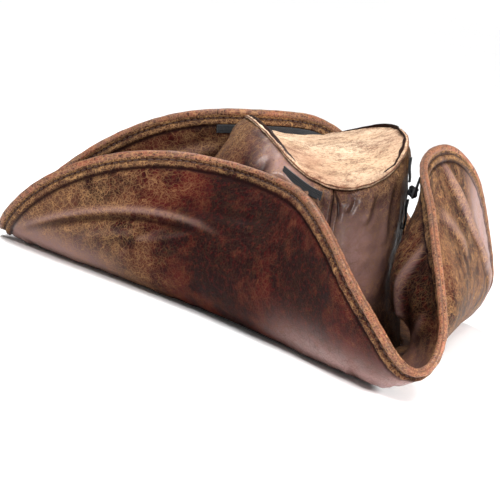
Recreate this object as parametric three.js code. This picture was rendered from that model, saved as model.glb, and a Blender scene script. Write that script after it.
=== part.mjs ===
// A three-cornered pirate hat in soft distressed faux leather.
// Millimetres and degrees, +Z up. The origin is the middle of the head opening, on the plane
// that the underside of the brim rests on. The front corner points along -Y, and +X is the
// wearer's left. The brim is laid out as a flat disc with a head opening, and one function
// folds that disc into three turned-up flaps, so every layer of it is the same bent sheet.
// The shapes are worked out from the middle of that flat disc, and the finished group is
// moved so that the head opening comes to the origin.
import * as THREE from 'three';

// ---- Driving dimensions

const HEAD = { long: 208, wide: 178, x: -18, y: -2 };

// facing: the way a flap looks outwards. reach: radius of the brim's edge there.
const FLAPS = {
  right: { facing: 210, reach: 230 },
  left: { facing: 330, reach: 254 },
  back: { facing: 90, reach: 246 },
};

// fold: distance of a flap's fold line from the disc's middle. bend: radius of the soft fold.
Object.assign(FLAPS.right, { fold: 133.5, bend: 38 });
Object.assign(FLAPS.left, { fold: 113.5, bend: 42 });
Object.assign(FLAPS.back, { fold: 114, bend: 25 });

// lift: how far a flap stands up. pull: how much further it leans where it is tied, which is
// `tiedAt` along its fold, fading over `tiedOver`.
Object.assign(FLAPS.right, { lift: 62, pull: 61, tiedAt: 6, tiedOver: 118 });
Object.assign(FLAPS.left, { lift: 99, pull: 20, tiedAt: -78, tiedOver: 176 });
Object.assign(FLAPS.back, { lift: 77, pull: 23, tiedAt: 38, tiedOver: 74 });

// Each corner lies between the flaps named `before` and `after` it.
const CORNERS = {
  front: { at: 270, reach: 252, before: 'right', after: 'left' },
  left: { at: 30, reach: 204, before: 'left', after: 'back' },
  right: { at: 150, reach: 240, before: 'back', after: 'right' },
};

// The crown's oval top: its middle, its half sizes and the heights of its wavy rim.
const TOP = { x: -15, y: 14, halfLong: 82, halfWide: 58, turn: -3 };
const RIM = { mean: 127.5, alongX: 9, alongY: 6, saddle: 13.5, twist: -2 };
const TIP_SAG = 5;
const WALL_BULGE = { size: 10, towards: 165 };
const WALL_CLEARANCE = 2.6;
const RIM_GAP = 1.4;
const CROWN_SEAMS = [260, 80];
const SEAM_GAP = 0.3;

const LEATHER = 1.2;
const STIFFENER = 1.0;
const LINING = 0.7;
const GAP = 0.35;
const LINING_GAP = 1;
const SWEATBAND_GAP = 0.5;
const BEAD_RADIUS = 2.8;
const WIRE_RADIUS = 0.5;
const WIRE_INSET = 10;
const SWEATBAND = { height: 32, thick: 1.5 };

// The flaps are cut from the middle of the brim where their folds have turned by CUT_TURN. A
// flap ends where it has narrowed to FLAP_END_WIDTH, and no further round than FLAP_SWING.
const CUT_TURN = 55;
const CUT_GAP = 4;
const FLAP_END_WIDTH = 18;
const FLAP_SWING = 56;
const CORNER_GAP = 0.9;

const FLAP_STEPS = 16;
const FLAP_ROWS = 3;
const CORNER_STEPS = 3;
const BASE_ROWS = 3;
const CROWN_STEPS = 32;
const CROWN_ROWS = 4;
const SIDES = 8;
const ROUNDS = 8;
const HALVINGS = 30;

// ---- Materials

function finish(color, roughness, metalness = 0) {
  return new THREE.MeshStandardMaterial({ color, roughness, metalness });
}

const LEATHER_FINISH = finish(0x6b3426, 0.45);
const CROWN_FINISH = finish(0x9c6a4a, 0.42);
const BEAD_FINISH = finish(0x8f5f4a, 0.5);
const STIFFENER_FINISH = finish(0x4a4038, 0.95);
const WIRE_FINISH = finish(0x9a9a9c, 0.35, 1);
const LINING_FINISH = finish(0x15110f, 0.8);
const SWEATBAND_FINISH = finish(0x1c1613, 0.6);
const LACE_FINISH = finish(0x141316, 0.7);

// ---- The bent sheet

const rad = THREE.MathUtils.degToRad;
const clamp = THREE.MathUtils.clamp;
const lerp = THREE.MathUtils.lerp;

/** Cosine and sine of an angle in degrees. */
function heading(degrees) {
  return [Math.cos(rad(degrees)), Math.sin(rad(degrees))];
}

/** The entry whose direction is nearest to phi, from a list of corners or flaps. */
function nearest(entries, key, phi) {
  const off = (entry) => Math.abs(((phi - entry[key] + 540) % 360) - 180);
  return entries.reduce((best, entry) => (off(entry) < off(best) ? entry : best));
}

/** Radius of the brim's flat edge: it swings between the reach of a corner and of a flap. */
function edgeReach(phi) {
  const corner = nearest(Object.values(CORNERS), 'at', phi);
  const flap = nearest(Object.values(FLAPS), 'facing', phi);
  const weight = (1 + Math.cos(3 * rad(phi - CORNERS.front.at))) / 2;
  return weight * corner.reach + (1 - weight) * flap.reach;
}

/** How far a flap stands up at `along` on its fold, in radians. */
function flapAngle(flap, along) {
  const nearness = Math.exp(-(((along - flap.tiedAt) / flap.tiedOver) ** 2));
  return rad(flap.lift + flap.pull * nearness);
}

/** Moves a point `beyond` the fold line onto an arc, and then along the raised flap. */
function foldShift(beyond, bend, angle) {
  const half = (bend * angle) / 2;
  const run = beyond + half;
  if (run <= 0) return [0, 0];
  const turned = clamp(run / bend, 0, angle);
  const over = Math.max(run - 2 * half, 0);
  const out = -half + bend * Math.sin(turned) + over * Math.cos(angle);
  const up = bend * (1 - Math.cos(turned)) + over * Math.sin(angle);
  return [out - beyond, up];
}

/** The underside of the folded brim, for a point x, y of the flat disc. */
function folded(x, y) {
  const point = new THREE.Vector3(x, y, 0);
  for (const flap of Object.values(FLAPS)) {
    const [nx, ny] = heading(flap.facing);
    const along = -x * ny + y * nx;
    const [out, up] = foldShift(x * nx + y * ny - flap.fold, flap.bend, flapAngle(flap, along));
    point.add(new THREE.Vector3(out * nx, out * ny, up));
  }
  return point;
}

/** A point of the brim at `height` above its underside, square to the bent sheet. */
function brimPoint(x, y, height) {
  const step = 0.5;
  const acrossX = folded(x + step, y).sub(folded(x - step, y));
  const acrossY = folded(x, y + step).sub(folded(x, y - step));
  return folded(x, y).addScaledVector(acrossX.cross(acrossY).normalize(), height);
}

/** A point of an oval about `middle`, with its long half along Y. */
function oval(middle, halfLong, halfWide, phi, turn = 0) {
  const [c, s] = heading(phi);
  const [ct, st] = heading(turn);
  const x = middle.x + halfWide * c * ct - halfLong * s * st;
  const y = middle.y + halfWide * c * st + halfLong * s * ct;
  return [x, y];
}

/** Flat position on the brim: share 0 is the head opening and share 1 the edge. */
function flatPoint(phi, share) {
  const inner = oval(HEAD, HEAD.long / 2, HEAD.wide / 2, phi);
  const outer = heading(phi).map((value) => value * edgeReach(phi));
  return [lerp(inner[0], outer[0], share), lerp(inner[1], outer[1], share)];
}

/** Length of the flat brim from the head opening to the edge at phi. */
function brimWidth(phi) {
  const [ax, ay] = flatPoint(phi, 0);
  const [bx, by] = flatPoint(phi, 1);
  return Math.hypot(bx - ax, by - ay);
}

/**
 * The share at which the ray at phi crosses a flap's cut, moved outwards by `offset`. The cut
 * depends a little on the place along the fold, so it is found in a few rounds.
 */
function cutShare(flap, phi, offset) {
  const [nx, ny] = heading(flap.facing);
  const [ax, ay] = flatPoint(phi, 0);
  const [bx, by] = flatPoint(phi, 1);
  const start = ax * nx + ay * ny;
  const end = bx * nx + by * ny;
  let share = 1;
  for (let round = 0; round < ROUNDS; round += 1) {
    const along = lerp(ax, bx, share) * -ny + lerp(ay, by, share) * nx;
    const beyond = flap.bend * (rad(CUT_TURN) - flapAngle(flap, along) / 2) + offset;
    share = (flap.fold + beyond - start) / (end - start);
  }
  return share;
}

/** The angle, on one side of a flap, where it ends. */
function flapEnd(flap, side) {
  let inside = 0;
  let outside = FLAP_SWING;
  for (let round = 0; round < HALVINGS; round += 1) {
    const middle = (inside + outside) / 2;
    const phi = flap.facing + side * middle;
    const width = (1 - cutShare(flap, phi, CUT_GAP / 2)) * brimWidth(phi);
    if (width > FLAP_END_WIDTH) inside = middle;
    else outside = middle;
  }
  return flap.facing + side * inside;
}

for (const flap of Object.values(FLAPS)) {
  flap.from = flapEnd(flap, -1);
  flap.to = flapEnd(flap, 1);
}

/** The share that leaves `inset` millimetres to the edge. */
function insetShare(phi, inset) {
  return 1 - inset / brimWidth(phi);
}

// ---- Closed solids: a block, ring, disc or rod with its vertices moved by a function

/** Moves every vertex of a geometry through `place`, then refreshes its normals. */
function reshape(geometry, place) {
  const position = geometry.attributes.position;
  for (let i = 0; i < position.count; i += 1) {
    const target = place(position.getX(i), position.getY(i), position.getZ(i));
    position.setXYZ(i, target.x, target.y, target.z);
  }
  geometry.computeVertexNormals();
  return geometry;
}

/** Swaps the diagonal of the chosen quads, so that both faces of a layer fold along the same lines. */
function turnDiagonals(geometry, chosen) {
  const index = geometry.index.array;
  for (let start = 0; start < index.length; start += 6) {
    const [a, b, d, c] = new Set(index.slice(start, start + 6));
    if (chosen(start / 6)) index.set([a, b, c, a, c, d], start);
  }
  return geometry;
}

/** A sheet: `place(i, j, top)` puts grid point i, j of its lower or upper face. */
function sheet(steps, rows, place) {
  const block = new THREE.BoxGeometry(steps, rows, 1, steps, rows, 1);
  const lowerFace = block.groups[5];
  turnDiagonals(block, (quad) => quad * 6 >= lowerFace.start);
  return reshape(block, (x, y, z) => {
    const i = Math.round(x + steps / 2);
    const j = Math.round(y + rows / 2);
    return place(i, j, z > 0);
  });
}

/** A lathe whose profile runs out along the lower face and back along the upper face. */
function twoFaced(profile, steps, rows, inner, place) {
  const lathe = new THREE.LatheGeometry(profile, steps);
  turnDiagonals(lathe, (quad) => quad % (profile.length - 1) > rows);
  return reshape(lathe, (x, y, z) => {
    const turn = Math.round((Math.atan2(x, z) / (2 * Math.PI)) * steps);
    return place((turn + steps) % steps, Math.round(Math.hypot(x, z)) - inner, y > 0.5);
  });
}

/** Profile points from radius `inner` outwards on the lower face, and back on the upper one. */
function outAndBack(inner, rows) {
  const out = Array.from({ length: rows + 1 }, (_, j) => new THREE.Vector2(inner + j, 0));
  return [...out, ...out.map((point) => new THREE.Vector2(point.x, 1)).reverse()];
}

/** A closed band round the hat: station i of `steps`, row j, lower or upper face. */
function ring(steps, rows, place) {
  const inner = 2;
  const profile = outAndBack(inner, rows);
  return twoFaced([...profile, profile[0].clone()], steps, rows, inner, place);
}

/** A closed oval panel: station i of `steps`, row j from the middle, lower or upper face. */
function disc(steps, rows, place) {
  return twoFaced(outAndBack(0, rows), steps, rows, 0, place);
}

/** A rod through stations 0..steps: `place(i, a, b)` takes offsets across it. */
function rod(steps, radiusA, radiusB, place) {
  const bar = new THREE.CylinderGeometry(1, 1, steps, SIDES, steps);
  return reshape(bar, (x, y, z) => place(Math.round(y + steps / 2), x * radiusA, z * radiusB));
}

const hat = new THREE.Group();

function add(name, geometry, material) {
  const mesh = new THREE.Mesh(geometry, material);
  mesh.name = name;
  hat.add(mesh);
}

// ---- Brim: three layers, an edge wire and a rolled edge bead

const LEATHER_INSET = 2 * BEAD_RADIUS + 2 * GAP;
const WIRE_ROOM = 3;
const STIFFENER_INSET = WIRE_INSET + WIRE_ROOM;
const UPPER_LOW = LEATHER + 2 * GAP + STIFFENER;
const MIDDLE_HEIGHT = LEATHER + GAP + STIFFENER / 2;
const EXTRA_ROWS = 2;
const LAYERS = [
  { name: 'under', low: 0, thick: LEATHER, extra: EXTRA_ROWS, material: LEATHER_FINISH },
  { name: 'stiffener', low: LEATHER + GAP, thick: STIFFENER, extra: 0, material: STIFFENER_FINISH },
  { name: 'upper', low: UPPER_LOW, thick: LEATHER, extra: EXTRA_ROWS, material: LEATHER_FINISH },
];

/** Share of row j: even rows up to the stiffener's edge, then one at the wire and one at the end. */
function rowShare(start, limit, rows, j) {
  if (j <= rows) return lerp(start, limit(STIFFENER_INSET), j / rows);
  return limit(j === rows + 1 ? WIRE_INSET : LEATHER_INSET);
}

/** One layer of a turned-up flap, from its cut to just inside its edge. */
function flapLayer(flap, layer) {
  return sheet(FLAP_STEPS, FLAP_ROWS + layer.extra, (i, j, top) => {
    const phi = lerp(flap.to, flap.from, i / FLAP_STEPS);
    const start = cutShare(flap, phi, CUT_GAP / 2);
    const [x, y] = flatPoint(phi, rowShare(start, (inset) => insetShare(phi, inset), FLAP_ROWS, j));
    return brimPoint(x, y, layer.low + (top ? layer.thick : 0));
  });
}

/** A rod that follows the brim's edge at a fixed inset, between two angles. */
function edgeRod(from, to, steps, radius, inset) {
  return rod(steps, radius, radius, (i, a, b) => {
    const phi = lerp(from, to, i / steps);
    const [x, y] = flatPoint(phi, insetShare(phi, inset - a));
    return brimPoint(x, y, MIDDLE_HEIGHT + b);
  });
}

for (const [name, flap] of Object.entries(FLAPS)) {
  for (const layer of LAYERS) add(`flap_${name}_${layer.name}`, flapLayer(flap, layer), layer.material);
  const wire = edgeRod(flap.from, flap.to, FLAP_STEPS, WIRE_RADIUS, WIRE_INSET);
  const bead = edgeRod(flap.from, flap.to, FLAP_STEPS, BEAD_RADIUS, BEAD_RADIUS);
  add(`flap_${name}_edge_wire`, wire, WIRE_FINISH);
  add(`flap_${name}_edge_bead`, bead, BEAD_FINISH);
}

/** The first and last angle of a corner, between the two flaps beside it. */
function cornerSpan(corner) {
  const from = FLAPS[corner.before].to + 2 * CORNER_GAP;
  const to = FLAPS[corner.after].from - 2 * CORNER_GAP;
  return [from, to < from ? to + 360 : to];
}

/** Stations round the middle of the brim. Those with a flap stop at its cut, others at the edge. */
function baseStations() {
  const stations = [];
  for (const corner of Object.values(CORNERS)) {
    const flap = FLAPS[corner.before];
    for (let i = 0; i <= FLAP_STEPS; i += 1) {
      const phi = lerp(flap.from - CORNER_GAP, flap.to + CORNER_GAP, i / FLAP_STEPS);
      stations.push({ phi, flap });
    }
    const [from, to] = cornerSpan(corner);
    for (let i = 0; i <= CORNER_STEPS; i += 1) {
      stations.push({ phi: lerp(from, to, i / CORNER_STEPS) });
    }
  }
  return stations;
}

const BASE = baseStations();

/** One layer of the middle of the brim, with the three corners, round the head opening. */
function baseLayer(layer) {
  return ring(BASE.length, BASE_ROWS + layer.extra, (i, j, top) => {
    const { phi, flap } = BASE[i];
    const limit = (inset) => {
      if (!flap) return insetShare(phi, inset);
      return cutShare(flap, phi, -CUT_GAP / 2) - (inset - LEATHER_INSET) / brimWidth(phi);
    };
    const [x, y] = flatPoint(phi, rowShare(0, limit, BASE_ROWS, j));
    return brimPoint(x, y, layer.low + (top ? layer.thick : 0));
  });
}

for (const layer of LAYERS) add(`brim_${layer.name}`, baseLayer(layer), layer.material);

for (const [name, corner] of Object.entries(CORNERS)) {
  const [from, to] = cornerSpan(corner);
  const bead = edgeRod(from, to, CORNER_STEPS, BEAD_RADIUS, BEAD_RADIUS);
  const wire = edgeRod(from, to, CORNER_STEPS, WIRE_RADIUS, WIRE_INSET);
  add(`corner_${name}_edge_bead`, bead, BEAD_FINISH);
  add(`corner_${name}_edge_wire`, wire, WIRE_FINISH);
}

// ---- Crown

/** Height of the crown's top at phi, at share q of the way from its middle to its rim. */
function topHeight(phi, q) {
  const [c, s] = heading(phi);
  const [c2, s2] = heading(2 * phi);
  const tilt = q * (RIM.alongX * c + RIM.alongY * s);
  return RIM.mean + tilt + q * q * (RIM.saddle * c2 + RIM.twist * s2) - TIP_SAG * (1 - q * q);
}

/** A point of the crown's wall: share 0 at the brim, share 1 under the rim, `inward` of its face. */
function wallPoint(phi, share, inward) {
  const [c, s] = heading(phi);
  const halfLong = HEAD.long / 2 - WALL_CLEARANCE;
  const halfWide = HEAD.wide / 2 - WALL_CLEARANCE;
  const [bx, by] = oval(HEAD, halfLong, halfWide, phi);
  const [tx, ty] = oval(TOP, TOP.halfLong, TOP.halfWide, phi, TOP.turn);
  const foot = folded(bx, by).z;
  const head = topHeight(phi, 1) - LEATHER - RIM_GAP;
  const [facing] = heading(phi - WALL_BULGE.towards);
  const bulge = WALL_BULGE.size * (0.5 + 0.5 * facing) * Math.sin(Math.PI * share);
  const out = bulge - inward;
  const x = lerp(bx, tx, share) + out * c;
  const y = lerp(by, ty, share) + out * s;
  return new THREE.Vector3(x, y, lerp(foot, head, share));
}

/** A crown side panel between two seams. */
function sidePanel(from, to) {
  const steps = CROWN_STEPS / 2;
  return sheet(steps, CROWN_ROWS, (i, j, top) => {
    const phi = lerp(from + SEAM_GAP, to - SEAM_GAP, i / steps);
    return wallPoint(phi, j / CROWN_ROWS, top ? 0 : LEATHER);
  });
}

/** An oval panel that lies `down` below the crown's top and covers `part` of its half sizes. */
function topPanel(down, thick, part) {
  return disc(CROWN_STEPS, CROWN_ROWS, (i, j, top) => {
    const phi = (360 * i) / CROWN_STEPS;
    const q = (part * j) / CROWN_ROWS;
    const [x, y] = oval(TOP, q * TOP.halfLong, q * TOP.halfWide, phi, TOP.turn);
    return new THREE.Vector3(x, y, topHeight(phi, q) - down - (top ? 0 : thick));
  });
}

/** A soft band inside the crown's wall, from the brim up to a share of the wall. */
function innerBand(upTo, inward, thick, rows) {
  return ring(CROWN_STEPS, rows, (i, j, top) => {
    const phi = (360 * i) / CROWN_STEPS;
    const share = lerp(BAND_FOOT, upTo, j / rows);
    return wallPoint(phi, share, inward + (top ? thick : 0));
  });
}

// Shares of the crown: where the bands inside it start, how far up its wall the side lining
// reaches, and how much of the top the tip lining covers, `LINING_DROP` below it.
const BAND_FOOT = 0.01;
const LINING_TOP = 0.96;
const LINING_PART = 0.92;
const LINING_DROP = LEATHER + 0.8;
const LINING_INSET = LEATHER + LINING_GAP;
const SWEATBAND_INSET = LINING_INSET + LINING + SWEATBAND_GAP;
const SWEATBAND_TOP = SWEATBAND.height / RIM.mean;
const sweatband = innerBand(SWEATBAND_TOP, SWEATBAND_INSET, SWEATBAND.thick, 1);
add('crown_side_right', sidePanel(CROWN_SEAMS[1], CROWN_SEAMS[0]), CROWN_FINISH);
add('crown_side_left', sidePanel(CROWN_SEAMS[0] - 360, CROWN_SEAMS[1]), CROWN_FINISH);
add('crown_tip', topPanel(0, LEATHER, 1), CROWN_FINISH);
add('lining_tip', topPanel(LINING_DROP, LINING, LINING_PART), LINING_FINISH);
add('lining_side', innerBand(LINING_TOP, LINING_INSET, LINING, CROWN_ROWS), LINING_FINISH);
add('sweatband', sweatband, SWEATBAND_FINISH);

// ---- Ties: flat black lace that holds the flaps up against the crown

const LACE = { halfWidth: 3.2, halfThick: 0.7 };
const LACE_STEPS = 8;
const WALL_LACE_STEPS = 3;
const RIGHT_TIE = { from: 224, to: 252, share: 0.94, stand: 1.6 };
const BACK_TIE = { from: 83, to: 106, inset: 15, lift: 1.2 };
const LEFT_TIE = { phi: 330, top: 0.97, knot: 0.8, tail: 0.6, stand: 2.2 };
const LEFT_TIE_END = { phi: 318, inset: 16, lift: 4 };
const KNOT = { wide: 4.2, deep: 3.2, tall: 4.6, around: 12, down: 8 };
const KNOT_GAP = 1;
const SPAN_GAP = 1.5;
const TIE_SAG = 5;

/** A flat lace along `spine`, whose width runs up and down and whose face looks `outward`. */
function lace(spine, outward) {
  return rod(LACE_STEPS, LACE.halfWidth, LACE.halfThick, (i, a, b) => {
    const point = spine(i / LACE_STEPS);
    return point.addScaledVector(outward(i / LACE_STEPS), b).add(new THREE.Vector3(0, 0, -a));
  });
}

/** Level direction away from the crown's middle at phi. */
function awayFromCrown(phi) {
  const [c, s] = heading(phi);
  return new THREE.Vector3(c, s, 0);
}

/** A lace round the crown's right front, just under its rim. */
function rightTie() {
  const at = (s) => lerp(RIGHT_TIE.from, RIGHT_TIE.to, s);
  const spine = (s) => wallPoint(at(s), RIGHT_TIE.share, -RIGHT_TIE.stand);
  return lace(spine, (s) => awayFromCrown(at(s)));
}

/** A lace that lies on the inside of the back flap, just under its edge. */
function backTie() {
  const face = UPPER_LOW + LEATHER + BACK_TIE.lift;
  return rod(LACE_STEPS, LACE.halfWidth, LACE.halfThick, (i, a, b) => {
    const phi = lerp(BACK_TIE.from, BACK_TIE.to, i / LACE_STEPS);
    const [x, y] = flatPoint(phi, insetShare(phi, BACK_TIE.inset - a));
    return brimPoint(x, y, face + b);
  });
}

const LEFT_OUT = awayFromCrown(LEFT_TIE.phi);
const LEFT_ACROSS = new THREE.Vector3(0, 0, 1).cross(LEFT_OUT);

/** A lace down the crown's left wall, between two shares of its height. */
function wallLace(fromShare, toShare) {
  return rod(WALL_LACE_STEPS, LACE.halfWidth, LACE.halfThick, (i, a, b) => {
    const share = lerp(fromShare, toShare, i / WALL_LACE_STEPS);
    const point = wallPoint(LEFT_TIE.phi, share, -LEFT_TIE.stand);
    return point.addScaledVector(LEFT_ACROSS, a).addScaledVector(LEFT_OUT, b);
  });
}

/** The middle of the knot, clear of the crown's left wall. */
function knotMiddle() {
  return wallPoint(LEFT_TIE.phi, LEFT_TIE.knot, -LEFT_TIE.stand - KNOT.deep);
}

/** The knot's rounded body. */
function knot() {
  const ball = new THREE.SphereGeometry(1, KNOT.around, KNOT.down);
  return reshape(ball, (x, y, z) => {
    const point = knotMiddle().addScaledVector(LEFT_ACROSS, x * KNOT.wide);
    point.addScaledVector(LEFT_OUT, z * KNOT.deep);
    return point.setZ(point.z + y * KNOT.tall);
  });
}

/** The lace that spans from the knot to the inside of the left flap. */
function leftTieSpan() {
  const start = knotMiddle();
  const share = insetShare(LEFT_TIE_END.phi, LEFT_TIE_END.inset);
  const [x, y] = flatPoint(LEFT_TIE_END.phi, share);
  const end = brimPoint(x, y, UPPER_LOW + LEATHER + LEFT_TIE_END.lift);
  const along = end.clone().sub(start);
  const side = new THREE.Vector3(along.y, -along.x, 0).normalize();
  const spine = (s) => {
    const part = lerp((KNOT.tall + SPAN_GAP) / along.length(), 1, s);
    const sag = TIE_SAG * 4 * part * (1 - part);
    const point = start.clone().addScaledVector(along, part);
    return point.setZ(point.z - sag);
  };
  return lace(spine, () => side);
}

const KNOT_SHARE = (KNOT.tall + KNOT_GAP) / RIM.mean;
add('right_tie', rightTie(), LACE_FINISH);
add('back_tie', backTie(), LACE_FINISH);
add('left_tie_lace', wallLace(LEFT_TIE.knot + KNOT_SHARE, LEFT_TIE.top), LACE_FINISH);
add('left_tie_tail', wallLace(LEFT_TIE.tail, LEFT_TIE.knot - KNOT_SHARE), LACE_FINISH);
add('left_tie_knot', knot(), LACE_FINISH);
add('left_tie_span', leftTieSpan(), LACE_FINISH);

hat.position.set(-HEAD.x, -HEAD.y, 0);

export default hat;
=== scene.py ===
"""A three-cornered pirate hat in soft distressed faux leather, built piece by piece.

The brim is one flat disc of sheet that a single function folds into three turned-up flaps, so
its leathers, stiffener, wire, bead and stitches all follow the same bent surface. Lengths in
the shape functions are millimetres from the middle of that flat disc, and every mesh is made in
metres in the frame's own axes.
"""
from collections import namedtuple

import bpy
import numpy as np
from bpy.props import FloatProperty, FloatVectorProperty, IntProperty, PointerProperty
from bpy.types import Operator, Panel, PropertyGroup
from mathutils import Matrix, Vector


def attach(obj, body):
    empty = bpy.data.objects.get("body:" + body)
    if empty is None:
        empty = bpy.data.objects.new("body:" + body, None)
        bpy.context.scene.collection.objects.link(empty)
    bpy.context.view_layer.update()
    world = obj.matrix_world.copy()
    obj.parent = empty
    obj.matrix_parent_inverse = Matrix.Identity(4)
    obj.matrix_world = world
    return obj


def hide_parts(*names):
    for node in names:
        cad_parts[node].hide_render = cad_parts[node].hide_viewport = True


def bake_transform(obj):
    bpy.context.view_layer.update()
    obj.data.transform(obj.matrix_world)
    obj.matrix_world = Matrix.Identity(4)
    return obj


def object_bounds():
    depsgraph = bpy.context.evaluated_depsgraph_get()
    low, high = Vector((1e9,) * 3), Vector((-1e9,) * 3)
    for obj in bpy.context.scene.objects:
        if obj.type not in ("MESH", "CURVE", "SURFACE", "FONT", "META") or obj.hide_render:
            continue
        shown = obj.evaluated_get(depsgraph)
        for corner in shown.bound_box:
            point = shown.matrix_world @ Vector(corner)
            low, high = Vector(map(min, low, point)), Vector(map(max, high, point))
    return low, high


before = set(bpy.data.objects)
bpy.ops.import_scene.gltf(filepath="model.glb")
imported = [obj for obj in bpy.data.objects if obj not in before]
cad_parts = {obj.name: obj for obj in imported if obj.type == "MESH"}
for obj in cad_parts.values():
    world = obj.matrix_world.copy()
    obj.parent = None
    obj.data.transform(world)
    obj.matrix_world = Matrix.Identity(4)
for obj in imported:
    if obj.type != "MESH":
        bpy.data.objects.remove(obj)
CAD_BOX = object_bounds()

bl_info = {
    "name": "Pirate hat",
    "version": (1, 0, 0),
    "blender": (4, 5, 0),
    "location": "View3D > Sidebar > Hat",
    "description": "Builds a three-cornered hat in distressed faux leather",
    "category": "Add Mesh",
}

# ---- Driving dimensions: millimetres and degrees

MM = 0.001
ROOT = "crown_and_brim"

Oval = namedtuple("Oval", "half_long half_wide x y turn")
Flap = namedtuple("Flap", "facing fold bend lift pull tied_at tied_over reach first last low high")
Layer = namedtuple("Layer", "low high")

# The brim's opening, and the rim of the crown's top.
HEAD = Oval(104.0, 89.0, -18.0, -2.0, 0.0)
TOP = Oval(82.0, 58.0, -15.0, 14.0, -3.0)

# facing: the way a flap looks. fold, bend: where its fold lies and how round it is. lift, pull:
# how far it stands up, and how much further where it is tied. first, last: its two corners.
# low, high: the heights between which it leaves the middle of the brim when it is let down.
FLAPS = {
    "right": Flap(210, 133.5, 38, 62, 61, 6, 118, 230, 150, 270, 37, 72),
    "left": Flap(330, 113.5, 42, 99, 20, -78, 176, 254, 270, 390, 37, 76),
    "back": Flap(90, 114, 25, 77, 23, 38, 74, 246, 30, 150, 16, 52),
}

# The brim's three corners: the flat reach of its edge at each angle.
CORNERS = {270: 252.0, 30: 204.0, 150: 240.0}
CORNER_NAMES = {270: "front", 30: "left", 150: "right"}

# The rim of the crown's top: its mean height, how much it rises towards X and towards Y, its
# saddle and the saddle's twist. The top sags between its middle and its rim.
RIM_MEAN = 127.5
RIM_ALONG_X = 9.0
RIM_ALONG_Y = 6.0
RIM_SADDLE = 13.5
RIM_TWIST = -2.0
TIP_SAG = 5.0

# The crown's wall: how far it bulges and towards which angle, how far inside the opening it
# stands, its mean radius when it is rolled out flat, and the angles of its two seams.
WALL_BULGE = 10.0
WALL_BULGE_TOWARDS = 165.0
WALL_CLEARANCE = 2.6
WALL_RADIUS = 88.0
CROWN_SEAMS = (260.0, 80.0)

# Thicknesses, the heights of the brim's layers over its underside, and how far in from the edge
# the wire, the felt and the leathers begin.
LEATHER = 1.2
LINING = 0.7
SWEATBAND = 1.5
UNDER = Layer(0.0, 1.2)
STIFFENER = Layer(1.55, 2.55)
UPPER = Layer(2.9, 4.1)
MIDDLE_HEIGHT = 2.05
WIRE_RADIUS = 0.5
WIRE_INSET = 10.0
STIFFENER_INSET = 13.0
TUCK = 3.6

# Where each surface lies along the third axis of its own skin, in metres, so that no two of them
# show the same part of the leather's pattern.
SKIN_INSIDE = 0.0
SKIN_OUTSIDE = 0.4
SKIN_BEAD = 0.8
SKIN_WALL = 1.3
SKIN_TOP = 2.1
SKIN_WELT = 3.0

# The disc's middle lies this far from the frame's origin, which is the middle of the opening.
OFFSET = np.array([-HEAD.x, -HEAD.y, 0.0])


class HatSizes(PropertyGroup):
    """Sizes that a maker would change without touching the pattern."""

    bead: FloatProperty(
        name="Edge bead", description="Radius of the rolled edge", default=2.8 * MM,
        unit="LENGTH", subtype="DISTANCE",
    )
    hem: FloatProperty(
        name="Hem", description="Width of the folded hem behind the edge", default=11.5 * MM,
        unit="LENGTH", subtype="DISTANCE",
    )
    stitch: FloatProperty(
        name="Stitch", description="Length of one stitch", default=3.4 * MM,
        unit="LENGTH", subtype="DISTANCE",
    )
    lace: FloatProperty(
        name="Lace", description="Width of the flat lace", default=6.4 * MM,
        unit="LENGTH", subtype="DISTANCE",
    )
    softness: FloatProperty(
        name="Softness", description="How strongly the leather waves and wrinkles",
        default=1.0, min=0.0, max=2.0, subtype="FACTOR",
    )
    cell: FloatProperty(
        name="Crackle", description="Size of one cell of the crackle", default=3.3 * MM,
        unit="LENGTH", subtype="DISTANCE",
    )
    sweatband: FloatProperty(
        name="Sweatband", description="Height of the sweatband", default=32.0 * MM,
        unit="LENGTH", subtype="DISTANCE",
    )
    stations: IntProperty(
        name="Stations", description="Columns along one third of the brim", default=260, min=40,
    )


def colour(name, description, red, green, blue):
    """A colour setting with three linear parts."""
    return FloatVectorProperty(
        name=name, description=description, default=(red, green, blue), size=3, min=0.0,
        max=1.0, subtype="COLOR",
    )


class HatColours(PropertyGroup):
    """Colours of the hat's leathers, cloths and lace."""

    oxblood: colour("Oxblood", "Ground colour of the brim", 0.060, 0.005, 0.004)
    # Near-black is the brim's own dark patches and flecks, and also the painted shade in seams,
    # grooves and crease hollows.
    shadow: colour("Shadow", "Nearly black patches of the brim", 0.010, 0.002, 0.002)
    tan: colour("Tan", "Crackle lines and rubbed places", 0.46, 0.25, 0.105)
    ochre: colour("Ochre", "Worn olive-tan patches", 0.098, 0.050, 0.029)
    # Mauve is also the painted highlight on the front and the left crest of the crown's wall.
    mauve: colour("Mauve", "Smooth stretched leather at the folds", 0.31, 0.175, 0.155)
    crown: colour("Crown", "Light ground of the crown's top", 0.82, 0.61, 0.42)
    rust: colour("Rust", "Darker mottling of the crown", 0.26, 0.085, 0.045)
    bead: colour("Bead", "Rubbed leather of the edge", 0.15, 0.068, 0.044)
    thread: colour("Thread", "Stitching", 0.035, 0.014, 0.010)
    lace: colour("Lace", "Flat woven lace", 0.010, 0.010, 0.012)
    lining: colour("Lining", "Woven lining", 0.020, 0.018, 0.019)
    band: colour("Sweatband", "Sweatband", 0.034, 0.026, 0.023)
    felt: colour("Felt", "Felt stiffener", 0.20, 0.17, 0.14)


# ---- The bent sheet


def heading(degrees):
    """Cosine and sine of an angle, or an array of angles, in degrees."""
    angle = np.radians(degrees)
    return np.cos(angle), np.sin(angle)


def smooth(value, start, stop):
    """Eases from 0 at start to 1 at stop with a smoothstep."""
    share = np.clip((value - start) / (stop - start), 0.0, 1.0)
    return share * share * (3 - 2 * share)


def bell(value, middle, width):
    """1 at the middle, and exp(-1) at `width` on either side of it."""
    return np.exp(-(((value - middle) / width) ** 2))


def mix(a, b, share):
    """The value a share of the way from a to b."""
    return a + (b - a) * share


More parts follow.
